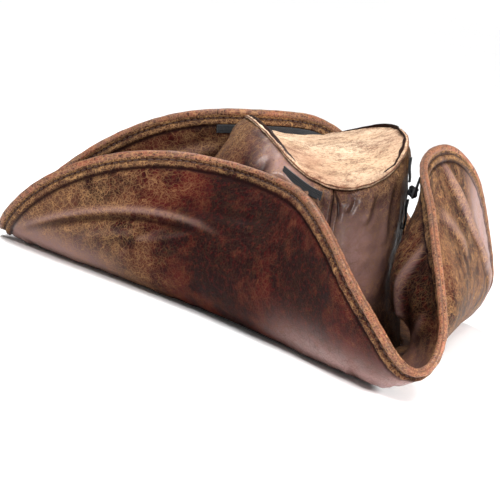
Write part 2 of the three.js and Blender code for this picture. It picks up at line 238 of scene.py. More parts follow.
def nearest(entries, phi):
    """The value of the (angle, value) entry whose angle is nearest to each phi."""
    off = np.stack([np.abs((phi - angle + 540) % 360 - 180) for angle, _ in entries])
    return np.array([value for _, value in entries], float)[off.argmin(0)]


def edge_reach(phi):
    """Flat radius of the brim's edge: a cosine swing between the reach of a corner and a flap."""
    corner = nearest(list(CORNERS.items()), phi)
    flap = nearest([(flap.facing, flap.reach) for flap in FLAPS.values()], phi)
    weight = (1 + np.cos(3 * np.radians(phi - 270))) / 2
    return mix(flap, corner, weight)


def fold_shift(beyond, bend, angle):
    """Out and up shifts that carry a point beyond a fold onto an arc, then along the flap."""
    half = bend * angle / 2
    run = beyond + half
    turned = np.clip(run / bend, 0, angle)
    over = np.maximum(run - 2 * half, 0)
    out = -half + bend * np.sin(turned) + over * np.cos(angle) - beyond
    up = bend * (1 - np.cos(turned)) + over * np.sin(angle)
    return np.where(run > 0, out, 0.0), np.where(run > 0, up, 0.0)


def flap_place(flap, x, y):
    """Distance beyond a flap's fold line, and distance along it, of flat points."""
    nx, ny = heading(flap.facing)
    return x * nx + y * ny - flap.fold, -x * ny + y * nx


def folded(x, y):
    """The underside of the folded brim: the flat point plus the shifts of all three folds."""
    point = np.stack([x, y, np.zeros_like(x)], -1)
    for flap in FLAPS.values():
        nx, ny = heading(flap.facing)
        beyond, along = flap_place(flap, x, y)
        tied = bell(along, flap.tied_at, flap.tied_over)
        angle = np.radians(flap.lift + flap.pull * tied)
        out, up = fold_shift(beyond, flap.bend, angle)
        point = point + np.stack([out * nx, out * ny, up], -1)
    return point


def unit(vectors):
    """Vectors brought to length one."""
    return vectors / np.maximum(np.linalg.norm(vectors, axis=-1, keepdims=True), 1e-12)


def brim_point(x, y, height):
    """The folded point moved by height along the sheet's normal, from finite differences."""
    step = 0.5
    across_x = folded(x + step, y) - folded(x - step, y)
    across_y = folded(x, y + step) - folded(x, y - step)
    normal = unit(np.cross(across_x, across_y))
    return folded(x, y) + np.asarray(height)[..., None] * normal


def oval_point(oval, phi, scale=1.0, grow=0.0):
    """A point of a turned oval whose long half lies along Y, scaled and then grown."""
    c, s = heading(phi)
    ct, st = heading(oval.turn)
    wide = (oval.half_wide + grow) * scale * c
    long = (oval.half_long + grow) * scale * s
    return oval.x + wide * ct - long * st, oval.y + wide * st + long * ct


def flat_point(phi, share):
    """Flat place on the brim: from the head opening at share 0 to the edge at share 1."""
    c, s = heading(phi)
    reach = edge_reach(phi)
    inner_x, inner_y = oval_point(HEAD, phi)
    return mix(inner_x, reach * c, share), mix(inner_y, reach * s, share)


def brim_width(phi):
    """Length of the flat brim from the head opening to the edge."""
    inner_x, inner_y = flat_point(phi, 0.0)
    outer_x, outer_y = flat_point(phi, 1.0)
    return np.hypot(outer_x - inner_x, outer_y - inner_y)


# ---- Softness: waves, creases, gathers and lumps


def lumps(x, y, size, seed=0):
    """Value noise from -1 to 1: a hashed height at each corner of a square net, eased between."""
    x = np.asarray(x, float) / size
    y = np.asarray(y, float) / size
    left, below = np.floor(x), np.floor(y)

    def corner(i, j):
        hashed = np.sin((left + i) * 127.1 + (below + j) * 311.7 + seed * 74.7) * 43758.5453
        return 2 * (hashed - np.floor(hashed)) - 1

    u, v = smooth(x - left, 0, 1), smooth(y - below, 0, 1)
    return mix(mix(corner(0, 0), corner(1, 0), u), mix(corner(0, 1), corner(1, 1), u), v)


def layered(x, y, layers):
    """The sum of several layers of lumps."""
    return sum(layer.height * lumps(x, y, layer.size, layer.seed) for layer in layers)


def gathers(run, seed=0):
    """Irregular ripple along a seam: three sines whose lengths have no common measure."""
    return (
        np.sin(run / 1.55 + seed) * 0.45
        + np.sin(run / 2.43 + 2.1 * seed) * 0.35
        + np.sin(run / 4.07 + 0.7 * seed) * 0.45
    )


# One crease: its two ends, how far its middle bows to the left of the way from first to last,
# how wide and high it is, and how deep the hollow beside it is, to the left where that is above
# 0 and to the right where it is below. On the brim an end is (angle, inset from the edge), and
# on the crown's wall (angle, share of the height).
Crease = namedtuple("Crease", "first last bow wide lift hollow")

# How far the hollow's middle lies from the ridge's, in widths of the crease.
HOLLOW_BESIDE = 1.6

OUTSIDE_CREASES = [
    Crease((161, 18), (211, 56), -14, 2.8, 2.6, 2.8),
    Crease((172, 52), (198, 74), -8, 4.0, 0.5, 0.7),
    Crease((199, 58), (182, 78), 3, 2.6, 0.4, 0.5),
    Crease((190, 66), (207, 58), 2, 2.4, 0.4, 0.4),
    Crease((326, 6), (366, 39), 9, 5.0, 4.2, 1.6),
    Crease((318, 40), (333, 84), -6, 6.0, 1.4, 0.8),
    Crease((352, 22), (384, 40), 6, 6.0, 1.6, 0.8),
    Crease((70, 34), (112, 40), 7, 5.5, 1.8, 1.2),
    Crease((104, 22), (136, 46), -8, 4.5, 1.5, 1.2),
    Crease((52, 40), (74, 72), 5, 5.0, 1.3, 1.0),
    Crease((136, 30), (158, 20), 5, 4.0, 1.2, 1.0),
]
INSIDE_CREASES = [
    Crease((296, 10), (283, 66), 4, 3.6, 3.2, 1.8),
    Crease((311, 26), (303, 92), -4, 5.0, 1.8, 1.2),
    Crease((284, 24), (279, 66), 3, 3.2, 1.3, 0.9),
    Crease((266, 26), (268, 58), 2, 2.6, 1.5, 1.0),
    Crease((258, 34), (263, 70), 3, 3.0, 1.3, 0.9),
    Crease((330, 30), (352, 52), 6, 6.0, 1.6, 1.0),
    Crease((186, 26), (222, 30), 6, 5.0, 1.2, 0.8),
    Crease((66, 24), (104, 27), 4, 4.0, 1.6, 1.2),
    Crease((104, 30), (134, 34), -6, 5.0, 1.4, 1.0),
]


# The left flap buckles inwards beside its front corner: where at the edge, how it slants with
# the inset, how wide, where its middle is, and how far it goes.
Buckle = namedtuple("Buckle", "phi slant swing inset over size")
BUCKLE = Buckle(phi=299.0, slant=0.1, swing=15.0, inset=48.0, over=42.0, size=35.0)

# Layers of lumps: how high, how far apart, and which pattern.
Lumps = namedtuple("Lumps", "height size seed")
SHEET_WAVES = (Lumps(2.1, 78, 1), Lumps(1.1, 41, 2))
WALL_LUMPS = (Lumps(1.6, 34, 21), Lumps(0.75, 15, 22), Lumps(0.3, 6.5, 23))
TOP_LUMPS = (Lumps(1.2, 27, 32), Lumps(0.4, 11, 33))

# The relief of a face of the brim: the hem's puff, the grooves of the stitches and behind the
# hem, and the gathers along it. The stitches' inset counts from the edge, and the hem's from the
# end of the hem.
Groove = namedtuple("Groove", "inset depth half_width")
HEM_PUFF = 0.95
PUFF_STARTS = 6.6
PUFF_FULL = 9.4
STITCH_GROOVE = Groove(7.0, 0.85, 0.9)
HEM_GROOVE = Groove(1.4, 0.75, 1.3)
GATHER_HEIGHT = 0.34
GATHER_REACH = 7.5


def crease_lift(x, y, first, last, crease):
    """A ridge along a parabola between two points, a hollow beside it, both fading at the ends."""
    dx, dy = last[0] - first[0], last[1] - first[1]
    length = np.hypot(dx, dy)
    along = ((x - first[0]) * dx + (y - first[1]) * dy) / length**2
    inside = np.clip(along, 0.0, 1.0)
    across = ((y - first[1]) * dx - (x - first[0]) * dy) / length
    across = (across - crease.bow * 4 * inside * (1 - inside)) / crease.wide
    ridge = bell(across, 0.0, 1.0) * crease.lift
    beside = np.sign(crease.hollow) * HOLLOW_BESIDE
    hollow = bell(across, beside, 1.0) * abs(crease.hollow)
    fade = smooth(along, -0.06, 0.25) * (1 - smooth(along, 0.75, 1.06))
    return (ridge - hollow) * fade


def creased(x, y, creases):
    """Sum of the lifts of a face's creases at flat points of the brim."""
    total = np.zeros_like(x)
    for crease in creases:
        ends = []
        for angle, inset in (crease.first, crease.last):
            width = brim_width(np.array(float(angle)))
            ends.append(flat_point(np.array(float(angle)), 1 - inset / width))
        total += crease_lift(x, y, ends[0], ends[1], crease)
    return total


def sheet_wave(x, y, phi, inset, softness):
    """Slow waves of the whole sheet, in millimetres, still at the corners and the opening."""
    flap = nearest([(flap.facing, flap.facing) for flap in FLAPS.values()], phi)
    corner_fade = smooth(60 - np.abs((phi - flap + 540) % 360 - 180), 0, 26)
    ramp = 1 - smooth(inset, 70, 125)
    wave = layered(x, y, SHEET_WAVES) * ramp * corner_fade
    folds = creased(x, y, INSIDE_CREASES) - creased(x, y, OUTSIDE_CREASES)
    folds = folds * smooth(inset, 8, 20)
    around = bell(phi, BUCKLE.phi - BUCKLE.slant * inset, BUCKLE.swing)
    buckle = BUCKLE.size * around * bell(inset, BUCKLE.inset, BUCKLE.over)
    return (wave + folds) * softness + buckle * smooth(inset, 3, 30)


def face_lift(x, y, phi, inset, sizes, outside):
    """How far one face of the brim stands out: hem, two grooves, gathers and lumps."""
    soft = sizes.softness
    hem = sizes.hem / MM
    run = np.radians(phi) * edge_reach(phi)
    edge_of_hem = 1 - smooth(inset, hem - 0.4, hem + 0.5)
    puff = HEM_PUFF * edge_of_hem * smooth(inset, PUFF_STARTS, PUFF_FULL)
    stitched = STITCH_GROOVE.depth * bell(inset, STITCH_GROOVE.inset, STITCH_GROOVE.half_width)
    step = HEM_GROOVE.depth * bell(inset, hem + HEM_GROOVE.inset, HEM_GROOVE.half_width)
    gather = GATHER_HEIGHT * gathers(run, 1.0 + outside) * bell(inset, hem, GATHER_REACH)
    lump = layered(x, y, (Lumps(0.55, 17, 5 + outside), Lumps(0.24, 7.5, 8 + outside)))
    lump = lump * smooth(inset, hem, hem + 9)
    return puff - stitched - step + (gather + lump) * soft


# ---- Meshes


def mesh_object(name, points, faces, attributes=(), shaded_smooth=True):
    """A new object at the origin from points in the disc's millimetres and index faces."""
    points = (np.asarray(points, float).reshape(-1, 3) + OFFSET) * MM
    mesh = bpy.data.meshes.new(name)
    faces = [np.asarray(group, np.int32) for group in faces]
    corners = np.concatenate([group.ravel() for group in faces])
    sizes = np.concatenate([np.full(len(group), group.shape[1]) for group in faces])
    starts = np.concatenate([[0], np.cumsum(sizes)[:-1]])
    mesh.vertices.add(len(points))
    mesh.vertices.foreach_set("co", points.ravel())
    mesh.loops.add(len(corners))
    mesh.loops.foreach_set("vertex_index", corners)
    mesh.polygons.add(len(sizes))
    mesh.polygons.foreach_set("loop_start", starts)
    mesh.polygons.foreach_set("use_smooth", np.full(len(sizes), shaded_smooth))
    for label, values in dict(attributes).items():
        values = np.asarray(values, np.float32)
        kind = "FLOAT_VECTOR" if values.shape[-1:] == (3,) and values.ndim > 1 else "FLOAT"
        layer = mesh.attributes.new(label, kind, "POINT")
        layer.data.foreach_set("vector" if kind == "FLOAT_VECTOR" else "value", values.ravel())
    mesh.update()
    mesh.validate()
    piece = bpy.data.objects.new(name, mesh)
    bpy.context.scene.collection.objects.link(piece)
    return piece


def grid_quads(index):
    """The quads between the neighbouring points of a grid of indices."""
    corners = [index[:-1, :-1], index[1:, :-1], index[1:, 1:], index[:-1, 1:]]
    return np.stack(corners, -1).reshape(-1, 4)


def quads(columns, rows, across, first=0):
    """Index quads of a grid of points; the last column joins the first if across."""
    index = first + np.arange(columns * rows).reshape(columns, rows)
    if across:
        index = np.concatenate([index, index[:1]])
    return grid_quads(index)


def walls(columns, rows, across):
    """Quads that close the borders between a front grid and a back grid of the same size."""
    back = columns * rows
    index = np.arange(back).reshape(columns, rows)
    lines = [index[:, 0], index[::-1, -1]]
    if across:
        lines = [np.append(line, line[0]) for line in lines]
    else:
        lines += [index[-1, :], index[0, ::-1]]
    strips = [np.stack([a[1:], a[:-1], a[:-1] + back, a[1:] + back], -1) for a in lines]
    return np.concatenate(strips)


def shell(name, front, back, attributes=(), across=False):
    """A closed sheet between two grids of points; front faces outwards, attributes cover both."""
    columns, rows = front.shape[:2]
    count = columns * rows
    faces = [
        quads(columns, rows, across),
        quads(columns, rows, across, count)[:, ::-1],
        walls(columns, rows, across),
    ]
    points = np.concatenate([front.reshape(-1, 3), back.reshape(-1, 3)])
    doubled = {}
    for label, values in dict(attributes).items():
        flat = values.reshape(count, -1)
        both = np.concatenate([flat, flat])
        doubled[label] = both if both.shape[1] == 3 else both[:, 0]
    return mesh_object(name, points, faces, doubled)


def tube(name, rings, attributes=(), closed=False):
    """A closed rod from rings of points (stations by sides), with fans over its two ends."""
    stations, sides = rings.shape[:2]
    points = rings.reshape(-1, 3)
    turned = np.swapaxes(np.arange(stations * sides).reshape(stations, sides), 0, 1)
    turned = np.concatenate([turned, turned[:1]])
    if closed:
        turned = np.concatenate([turned, turned[:, :1]], 1)
    faces = [grid_quads(turned)]
    values = {
        label: np.asarray(value).reshape(stations * sides, -1)
        for label, value in dict(attributes).items()
    }
    if not closed:
        start, stop = len(points), len(points) + 1
        points = np.concatenate([points, rings[:1].mean(1), rings[-1:].mean(1)])
        around = np.arange(sides)
        after = (around + 1) % sides
        last = (stations - 1) * sides
        faces.append(np.stack([after, around, np.full(sides, start)], -1))
        faces.append(np.stack([last + around, last + after, np.full(sides, stop)], -1))
        for label, value in values.items():
            values[label] = np.concatenate([value, value[:1], value[-1:]])
    values = {label: v if v.shape[1] == 3 else v[:, 0] for label, v in values.items()}
    return mesh_object(name, points, faces, values)


def outwards(piece):
    """Turns a closed mesh's faces outwards if its signed volume is negative."""
    mesh = piece.data
    mesh.calc_loop_triangles()
    corners = np.zeros(len(mesh.loop_triangles) * 3, np.int32)
    mesh.loop_triangles.foreach_get("vertices", corners)
    points = np.zeros(len(mesh.vertices) * 3)
    mesh.vertices.foreach_get("co", points)
    a, b, c = points.reshape(-1, 3)[corners.reshape(-1, 3)].transpose(1, 0, 2)
    if np.einsum("ij,ij->", a, np.cross(b, c)) < 0:
        mesh.flip_normals()
    return piece


def settle(piece, material, slot, body, *nodes):
    """Gives a finished piece its material, the CAD nodes it stands for and its body, or bakes it in
    place for a flap. The slot is not used.
    """
    outwards(piece)
    piece.data.materials.append(material)
    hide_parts(*nodes)
    if isinstance(body, Flap):
        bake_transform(piece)
    else:
        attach(piece, body)
    return piece


# ---- Materials: shader sums, one maker for nodes, and the finishes


def make(tree, kind, settings=(), inputs=()):
    """One node: its settings (and a ramp's stops) first, then the values or links of sockets."""
    node = tree.nodes.new(kind)
    for name, value in dict(settings).items():
        if name == "stops":
            for element, (position, shade) in zip(node.color_ramp.elements, value):
                element.position = position
                element.color = (*shade, 1.0)
        else:
            setattr(node, name, value)
    for name, value in dict(inputs).items():
        if isinstance(value, Sum):
            tree.links.new(value.socket, node.inputs[name])
        elif isinstance(node.inputs[name].default_value, float):
            node.inputs[name].default_value = value
        elif len(node.inputs[name].default_value) == 4:
            node.inputs[name].default_value = (*tuple(value)[:3], 1.0)
        else:
            node.inputs[name].default_value = tuple(value)
    return node


class Sum:
    """A shader socket in an expression: each operator adds the Math node that it stands for."""

    def __init__(self, tree, socket):
        self.tree = tree
        self.socket = socket

    def math(self, operation, first, second=None):
        """A Math node on one or two values."""
        values = {0: first} if second is None else {0: first, 1: second}
        node = make(self.tree, "ShaderNodeMath", {"operation": operation}, values)
        return Sum(self.tree, node.outputs[0])

    def __add__(self, other):
        return self.math("ADD", self, other)

    def __sub__(self, other):
        return self.math("SUBTRACT", self, other)

    def __rsub__(self, other):
        return self.math("SUBTRACT", other, self)

    def __mul__(self, other):
        return self.math("MULTIPLY", self, other)

    __radd__ = __add__
    __rmul__ = __mul__

    def least(self, other):
        """The smaller of two values."""
        return self.math("MINIMUM", self, other)

    def most(self, other):
        """The larger of two values."""
        return self.math("MAXIMUM", self, other)

    def eased(self, start, stop):
        """0 below start and 1 above stop, with a smoothstep between; start may be above stop."""
        if start > stop:
            return 1 - self.eased(stop, start)
        node = make(
            self.tree, "ShaderNodeMapRange", {"interpolation_type": "SMOOTHSTEP"},
            {"Value": self, "From Min": start, "From Max": stop},
        )
        return Sum(self.tree, node.outputs[0])


class Finish:
    """A material being made, with the few node recipes that all of the hat's finishes share."""

    def __init__(self, name):
        self.material = bpy.data.materials.new(name)
        self.material.use_nodes = True
        self.tree = self.material.node_tree
        self.tree.nodes.clear()

    def sum(self, kind, output=0, settings=(), **inputs):
        """One node's output as a sum; input names use underscores for spaces."""
        named = {key.replace("_", " "): value for key, value in inputs.items()}
        node = make(self.tree, kind, settings, named)
        return Sum(self.tree, node.outputs[output])

    def attribute(self, name, output="Fac"):
        """A value or vector that the piece's points carry."""
        return self.sum("ShaderNodeAttribute", output, {"attribute_name": name})

    def noise(self, place, scale, detail=3.0, roughness=0.55, distortion=0.0, output="Fac"):
        """Cloudy noise with `scale` clouds to the metre."""
        return self.sum(
            "ShaderNodeTexNoise", output, Vector=place, Scale=scale, Detail=detail,
            Roughness=roughness, Distortion=distortion,
        )

    def cracks(self, place, scale, width):
        """Thin lines along the borders of cells, with `scale` cells to the metre."""
        border = self.sum(
            "ShaderNodeTexVoronoi", "Distance", {"feature": "DISTANCE_TO_EDGE"},
            Vector=place, Scale=scale,
        )
        return border.eased(width, width * 0.15)

    def warped(self, place, scale, amount):
        """A place pushed about by coloured noise, so that straight cell borders wander."""
        cloud = self.noise(place, scale, 2.0, output="Color")
        centred = self.vectors("SUBTRACT", {0: cloud, 1: (0.5, 0.5, 0.5)})
        scaled = self.vectors("SCALE", {0: centred, "Scale": amount})
        return self.vectors("ADD", {0: place, 1: scaled})

    def vectors(self, operation, inputs):
        """A Vector Math node's result."""
        node = make(self.tree, "ShaderNodeVectorMath", {"operation": operation}, inputs)
        return Sum(self.tree, node.outputs[0])

    def mix(self, share, first, second):
        """A colour between two, by a value or sum."""
        node = make(
            self.tree, "ShaderNodeMix", {"data_type": "RGBA"}, {0: share, 6: first, 7: second},
        )
        return Sum(self.tree, node.outputs[2])

    def close(self, base, roughness, height, depth, **fixed):
        """Ends the material: a Principled shader, with a Bump of `depth` metres from height."""
        bump = make(
            self.tree, "ShaderNodeBump", inputs={"Height": height, "Distance": depth},
        )
        inputs = {
            "Base Color": base,
            "Roughness": roughness,
            "Normal": Sum(self.tree, bump.outputs[0]),
        }
        inputs.update({key.replace("_", " "): value for key, value in fixed.items()})
        shader = make(self.tree, "ShaderNodeBsdfPrincipled", inputs=inputs)
        out = self.tree.nodes.new("ShaderNodeOutputMaterial")
        self.tree.links.new(shader.outputs[0], out.inputs[0])
        return self.material


def crackled_leather(name, sizes, colours, light=False):
    """Distressed faux leather: blotched ground, rubbed cracks, polished folds, painted shade in
    seams.

    The points carry where they lie on the uncut skin, how rubbed and tan they are, how much polish
    and painted highlight they have, and how much painted shade lies in their seams and grooves.
    """
    finish = Finish(name)
    place = finish.attribute("skin_place", "Vector")
    rubbed = finish.attribute("rubbed")
    polished = finish.attribute("polished")
    tanned = finish.attribute("tanned")
    seam = finish.attribute("seam")
    cells = 1 / sizes.cell
    wandering = finish.warped(place, cells * 0.6, sizes.cell * 0.85)
    cloud = finish.noise(place, 17.0, 4.0, 0.6, 0.4)
    fine_cloud = finish.noise(place, 75.0, 4.0, 0.65)
    speck = finish.noise(place, 330.0, 3.0, 0.7)
    web = finish.cracks(wandering, cells, 0.075)
    fine_web = finish.cracks(finish.warped(place, cells, sizes.cell * 0.7), cells * 1.9, 0.11)
    hair = finish.cracks(finish.warped(place, cells * 0.2, sizes.cell * 5), cells * 0.36, 0.025)
    broken = fine_cloud.eased(0.38, 0.62)
    lines = (web * (0.35 + 0.65 * broken)).most(fine_web * broken * 0.75).most(hair * 0.9)
    if light:
        ground = finish.mix(cloud.eased(0.44, 0.66) * 0.35, colours.crown, colours.tan)
        ground = finish.mix(fine_cloud.eased(0.50, 0.70) * 0.40, ground, colours.rust)
        ground = finish.mix((1 - tanned) * 0.5, ground, colours.rust)
        ground = finish.mix(speck.eased(0.48, 0.62) * 0.5, ground, colours.rust)
        thickness = lines * (0.25 + 0.4 * broken)
        base = finish.mix(thickness, ground, colours.ochre)
    else:
        patches = (cloud + 0.45 * fine_cloud).eased(0.66, 0.90)
        ground = finish.mix(patches, colours.shadow, colours.oxblood)
        worn = 0.5 * cloud + 0.5 * fine_cloud + 0.26 * tanned + 0.12 * rubbed
        tan_patch = worn.eased(0.60, 0.84)
        ground = finish.mix(tan_patch * 0.75, ground, colours.ochre)
        ground = finish.mix(speck.eased(0.50, 0.62) * 0.55, ground, colours.oxblood)
        strength = (lines * (0.04 + 0.52 * tanned + 0.30 * rubbed + 0.10 * patches)).least(0.9)
        base = finish.mix(strength, ground, colours.tan)
    # Mauve is polished leather at the folds, and a painted highlight on the crown's wall.
    base = finish.mix((polished * (0.95 - 0.45 * lines)).least(0.85), base, colours.mauve)
    dust = speck.eased(0.56, 0.68) * rubbed
    base = finish.mix(dust * 0.75, base, colours.shadow)
    # Painted shade in seams, grooves, crease hollows and along the crown's rim.
    base = finish.mix(seam.least(0.93), base, colours.shadow)
    roughness = 0.46 + 0.14 * lines + 0.12 * fine_cloud - 0.10 * polished
    height = 0.5 * speck + 0.35 * fine_cloud - 0.7 * lines * (1 - 0.6 * polished)
    return finish.close(
        base, roughness, height, 0.00045,
        Coat_Weight=0.65 * polished, Coat_Roughness=0.26, Specular_IOR_Level=0.06,
    )


def rubbed_bead(sizes, colours):
    """The rolled edge: rubbed tan leather with a fine dark fleck and short cross wrinkles."""
    finish = Finish("rubbed_edge_bead")
    place = finish.attribute("skin_place", "Vector")
    fleck = finish.noise(place, 420.0, 3.0, 0.7)
    cloud = finish.noise(place, 60.0, 4.0, 0.6)
    ground = finish.mix(cloud.eased(0.35, 0.65), colours.rust, colours.bead)
    base = finish.mix(fleck.eased(0.48, 0.64) * 0.85, ground, colours.shadow)
    lines = finish.cracks(place, 1.3 / sizes.cell, 0.10)
    base = finish.mix(lines * 0.5, base, colours.tan)
    return finish.close(
        base, 0.42 + 0.15 * cloud, 0.6 * fleck - 0.5 * lines, 0.0005,
        Coat_Weight=0.08, Coat_Roughness=0.3, Specular_IOR_Level=0.2,
    )


def woven(name, shade, threads, depth, sheen):
    """A plain weave on the piece's own (along, across) map, with `threads` to the metre."""
    finish = Finish(name)
    place = finish.attribute("weave_place", "Vector")
    parts = make(finish.tree, "ShaderNodeSeparateXYZ", inputs={0: place})
    along = Sum(finish.tree, parts.outputs[0]) * (threads * np.pi)
    across = Sum(finish.tree, parts.outputs[1]) * (threads * np.pi)
    warp = along.math("SINE", along)
    weft = across.math("SINE", across)
    checker = warp * weft
    raised = checker.math("ABSOLUTE", checker)
    fuzz = finish.noise(place, threads * 1.7, 3.0, 0.7)
    bright = tuple(min(1.0, part * 1.9 + 0.006) for part in shade)
    base = finish.mix((0.55 * raised + 0.45 * fuzz).eased(0.15, 0.95), shade, bright)
    return finish.close(
        base, 0.62 + 0.25 * fuzz, raised + 0.4 * fuzz, depth,
        Sheen_Weight=sheen, Sheen_Roughness=0.45,
    )


def felt(colours):
    """Pressed felt: matt, with short fibres in every direction."""
    finish = Finish("felt_stiffener")
    place = finish.sum("ShaderNodeTexCoord", "Object")
    fibre = finish.noise(place, 900.0, 5.0, 0.75)
    base = finish.mix(fibre.eased(0.35, 0.7), tuple(0.6 * c for c in colours.felt), colours.felt)
    return finish.close(base, 0.9 + 0.08 * fibre, fibre, 0.0004)


def drawn_wire():
    """Drawn steel wire: bright metal with faint lengthwise scoring."""
    finish = Finish("drawn_wire")
    place = finish.sum("ShaderNodeTexCoord", "Object")
    score = finish.noise(place, 1500.0, 2.0)
    base = finish.mix(score, (0.42, 0.42, 0.43), (0.62, 0.62, 0.64))
    return finish.close(base, 0.28 + 0.2 * score, score, 0.0001, Metallic=1.0)


def waxed_thread(colours):
    """Waxed dark thread with a fine twist."""
    finish = Finish("waxed_thread")
    place = finish.sum("ShaderNodeTexCoord", "Object")
    twist = finish.noise(place, 2600.0, 1.0)
    base = finish.mix(twist, colours.thread, tuple(2.2 * c for c in colours.thread))
    return finish.close(base, 0.5 + 0.2 * twist, twist, 0.0002)


def pale_studio():
    """A matt pale floor with the faintest unevenness."""
    finish = Finish("pale_studio_floor")
    place = finish.sum("ShaderNodeTexCoord", "Object")
    cloud = finish.noise(place, 0.8, 2.0)
    base = finish.mix(cloud, (0.95, 0.95, 0.95), (0.98, 0.98, 0.98))
    return finish.close(base, 0.85 + 0.1 * cloud, cloud, 0.0001)


def material(name, maker, *details):
    """The material of that name, made once."""
    return bpy.data.materials.get(name) or maker(*details)


def hat_settings():
    """The size and colour settings of the open scene."""
    return bpy.context.scene.hat_sizes, bpy.context.scene.hat_colours


def brim_finish():
    """The brim's dark crackled leather."""
    name = "crackled_brim_leather"
    return material(name, crackled_leather, name, *hat_settings())


def cloth_finish(name, shade, threads, depth, sheen=0.3):
    """A plain weave in one shade."""
    return material(name, woven, name, tuple(shade), threads, depth, sheen)


# ---- The brim, one third at a time


# Rows of a leather: how far apart they are over the hem, how far behind it they stay so, and how
# many there are from there to the opening.
FINE_STEP = 0.5
FINE_BEHIND_HEM = 9
WIDE_ROWS = 73

# How far a leather reaches under the crown's wall, how thick it is at least where the floor
# flattens it, and the rows of the felt.
UNDER_WALL = 0.6
LEAST_THICKNESS = 0.4
FELT_ROWS = 40

# Sides of the bead and the wire, how much the bead swells, and how much denser their rings are
# than the stations of the brim.
BEAD_SIDES = 18
BEAD_RIPPLE = 0.05
WIRE_SIDES = 8
DENSER = 1.6

# How the brim's leather is worn. The right flap's tan fades out between two angles. The left
# flap is smooth outside past two angles and above two insets, and is darker inside at an angle,
# for so many degrees on either side. The rest is how tan each face is.
TAN_FADES = (176, 206)
SMOOTH_FROM = (336, 352)
SMOOTH_ABOVE = (36, 50)
DARKER_AT = (289, 9)
TAN_LEFT_OUTSIDE = 0.8
TAN_LEFT_INSIDE = 0.62
TAN_BACK = 0.55


def insets(width, sizes):
    """Insets from the edge of every row of a leather: fine over the hem, wider to the opening."""
    fine = np.arange(TUCK, sizes.hem / MM + FINE_BEHIND_HEM, FINE_STEP)
    rest = np.linspace(0, 1, WIDE_ROWS + 1)[1:]
    under = WALL_CLEARANCE + UNDER_WALL
    far = mix(fine[-1], width + under, rest[None, :] * np.ones_like(width))
    return np.concatenate([np.ones_like(width) * fine[None, :], far], 1)


def sector_angles(flap, stations):
    """Angles of the stations of one third of the brim, as a column."""
    return np.linspace(flap.first, flap.last, stations + 1)[:, None]


def worn(x, y, phi, inset, flap, sizes, outside):
    """What the shader needs at each point: skin place, rubbed, polish, tanned, painted groove shade.
    """
    hem = sizes.hem / MM
    beyond, _ = flap_place(flap, x, y)
    end = smooth(np.abs((phi - flap.facing + 540) % 360 - 180), 22, 50)
    name = next(key for key, value in FLAPS.items() if value is flap)
    fold_band = bell(beyond, -4, 19)
    polished = fold_band * 0.95 * end if outside else 0.25 * fold_band * end
    if name == "left" and outside:
        far = smooth(phi, *SMOOTH_FROM) * (1 - smooth(inset, *SMOOTH_ABOVE))
        polished = np.maximum(polished, 0.9 * far)
    if name == "right":
        tanned = 1 - smooth(phi, *TAN_FADES)
    elif name == "left" and outside:
        tanned = TAN_LEFT_OUTSIDE
    elif name == "left":
        tanned = TAN_LEFT_INSIDE - 0.4 * bell(phi, *DARKER_AT)
    else:
        tanned = TAN_BACK + 0.3 * lumps(x, y, 60, 12)
    band = 1 - smooth(inset, hem - 0.6, hem + 0.6)
    lines = creased(x, y, OUTSIDE_CREASES if outside else INSIDE_CREASES) * sizes.softness
    rubbed = np.clip(0.85 * band + 0.42 * np.clip(lines, 0, 2), 0, 1)
    polished = np.clip(polished * (1 - band) + 0.22 * np.clip(lines, 0, 2), 0, 1)
    # Painted shade in the stitch groove, the groove behind the hem and the hollows beside creases.
    stitched = bell(inset, STITCH_GROOVE.inset, STITCH_GROOVE.half_width)
    behind_hem = bell(inset, hem + 1.3, 1.5)
    seam = 0.95 * np.maximum(stitched, behind_hem)
    seam = np.maximum(seam, np.clip(-lines * 0.3, 0, 0.65))
    level = SKIN_OUTSIDE if outside else SKIN_INSIDE
    skin = np.stack([x * MM, y * MM, np.full_like(x, level)], -1)
    return {
        "skin_place": skin,
        "rubbed": rubbed,
        "polished": polished,
        "tanned": np.clip(tanned + 0.35 * band, 0, 1),
        "seam": np.clip(seam, 0, 1),
    }


def above_floor(points, least):
    """Points of the sheet kept at or above a least height."""
    points[..., 2] = np.maximum(points[..., 2], least)
    return points


def brim_leather(name, flap, layer, sizes, outside):
    """One leather of a third of the brim: a closed sheet whose outer face carries the relief."""
    phi = sector_angles(flap, sizes.stations)
    width = brim_width(phi)
    inset = insets(width, sizes)
    phi = phi + 0 * inset
    x, y = flat_point(phi, 1 - inset / width)
    wave = sheet_wave(x, y, phi, inset, sizes.softness)
    lift = face_lift(x, y, phi, inset, sizes, outside)
    if outside:
        front, back = layer.low + wave - lift, layer.high + wave - 0.25 * lift
    else:
        front, back = layer.high + wave + lift, layer.low + wave + 0.25 * lift
    attributes = worn(x, y, phi, inset, flap, sizes, outside)
    front = above_floor(brim_point(x, y, front), layer.low)
    back = above_floor(brim_point(x, y, back), layer.low + LEAST_THICKNESS)
    return shell(name, front, back, attributes)


def edge_rod(flap, sizes, radius, inset, sides, ripple=0.0):
    """Rings of a rod along the edge: a circle across the sheet, swollen a little by gathers."""
    phi = sector_angles(flap, int(sizes.stations * DENSER))
    turn = np.linspace(0, 2 * np.pi, sides, endpoint=False)[None, :]
    run = np.radians(phi) * edge_reach(phi)
    swell = radius * (1 + ripple * (gathers(run * 0.8, 3.0) + 0.6 * lumps(run, 0 * run, 9, 4)))
    place = inset - swell * np.cos(turn)
    height = MIDDLE_HEIGHT + swell * np.sin(turn)
    phi = phi + 0 * place
    x, y = flat_point(phi, 1 - place / brim_width(phi))
    height = height + sheet_wave(x, y, phi, place, sizes.softness)
    round_about = radius * (turn + 0 * place)
    skin = np.stack([run * MM + 0 * place, round_about * MM, np.full_like(place, SKIN_BEAD)], -1)
    return brim_point(x, y, height), {"skin_place": skin}


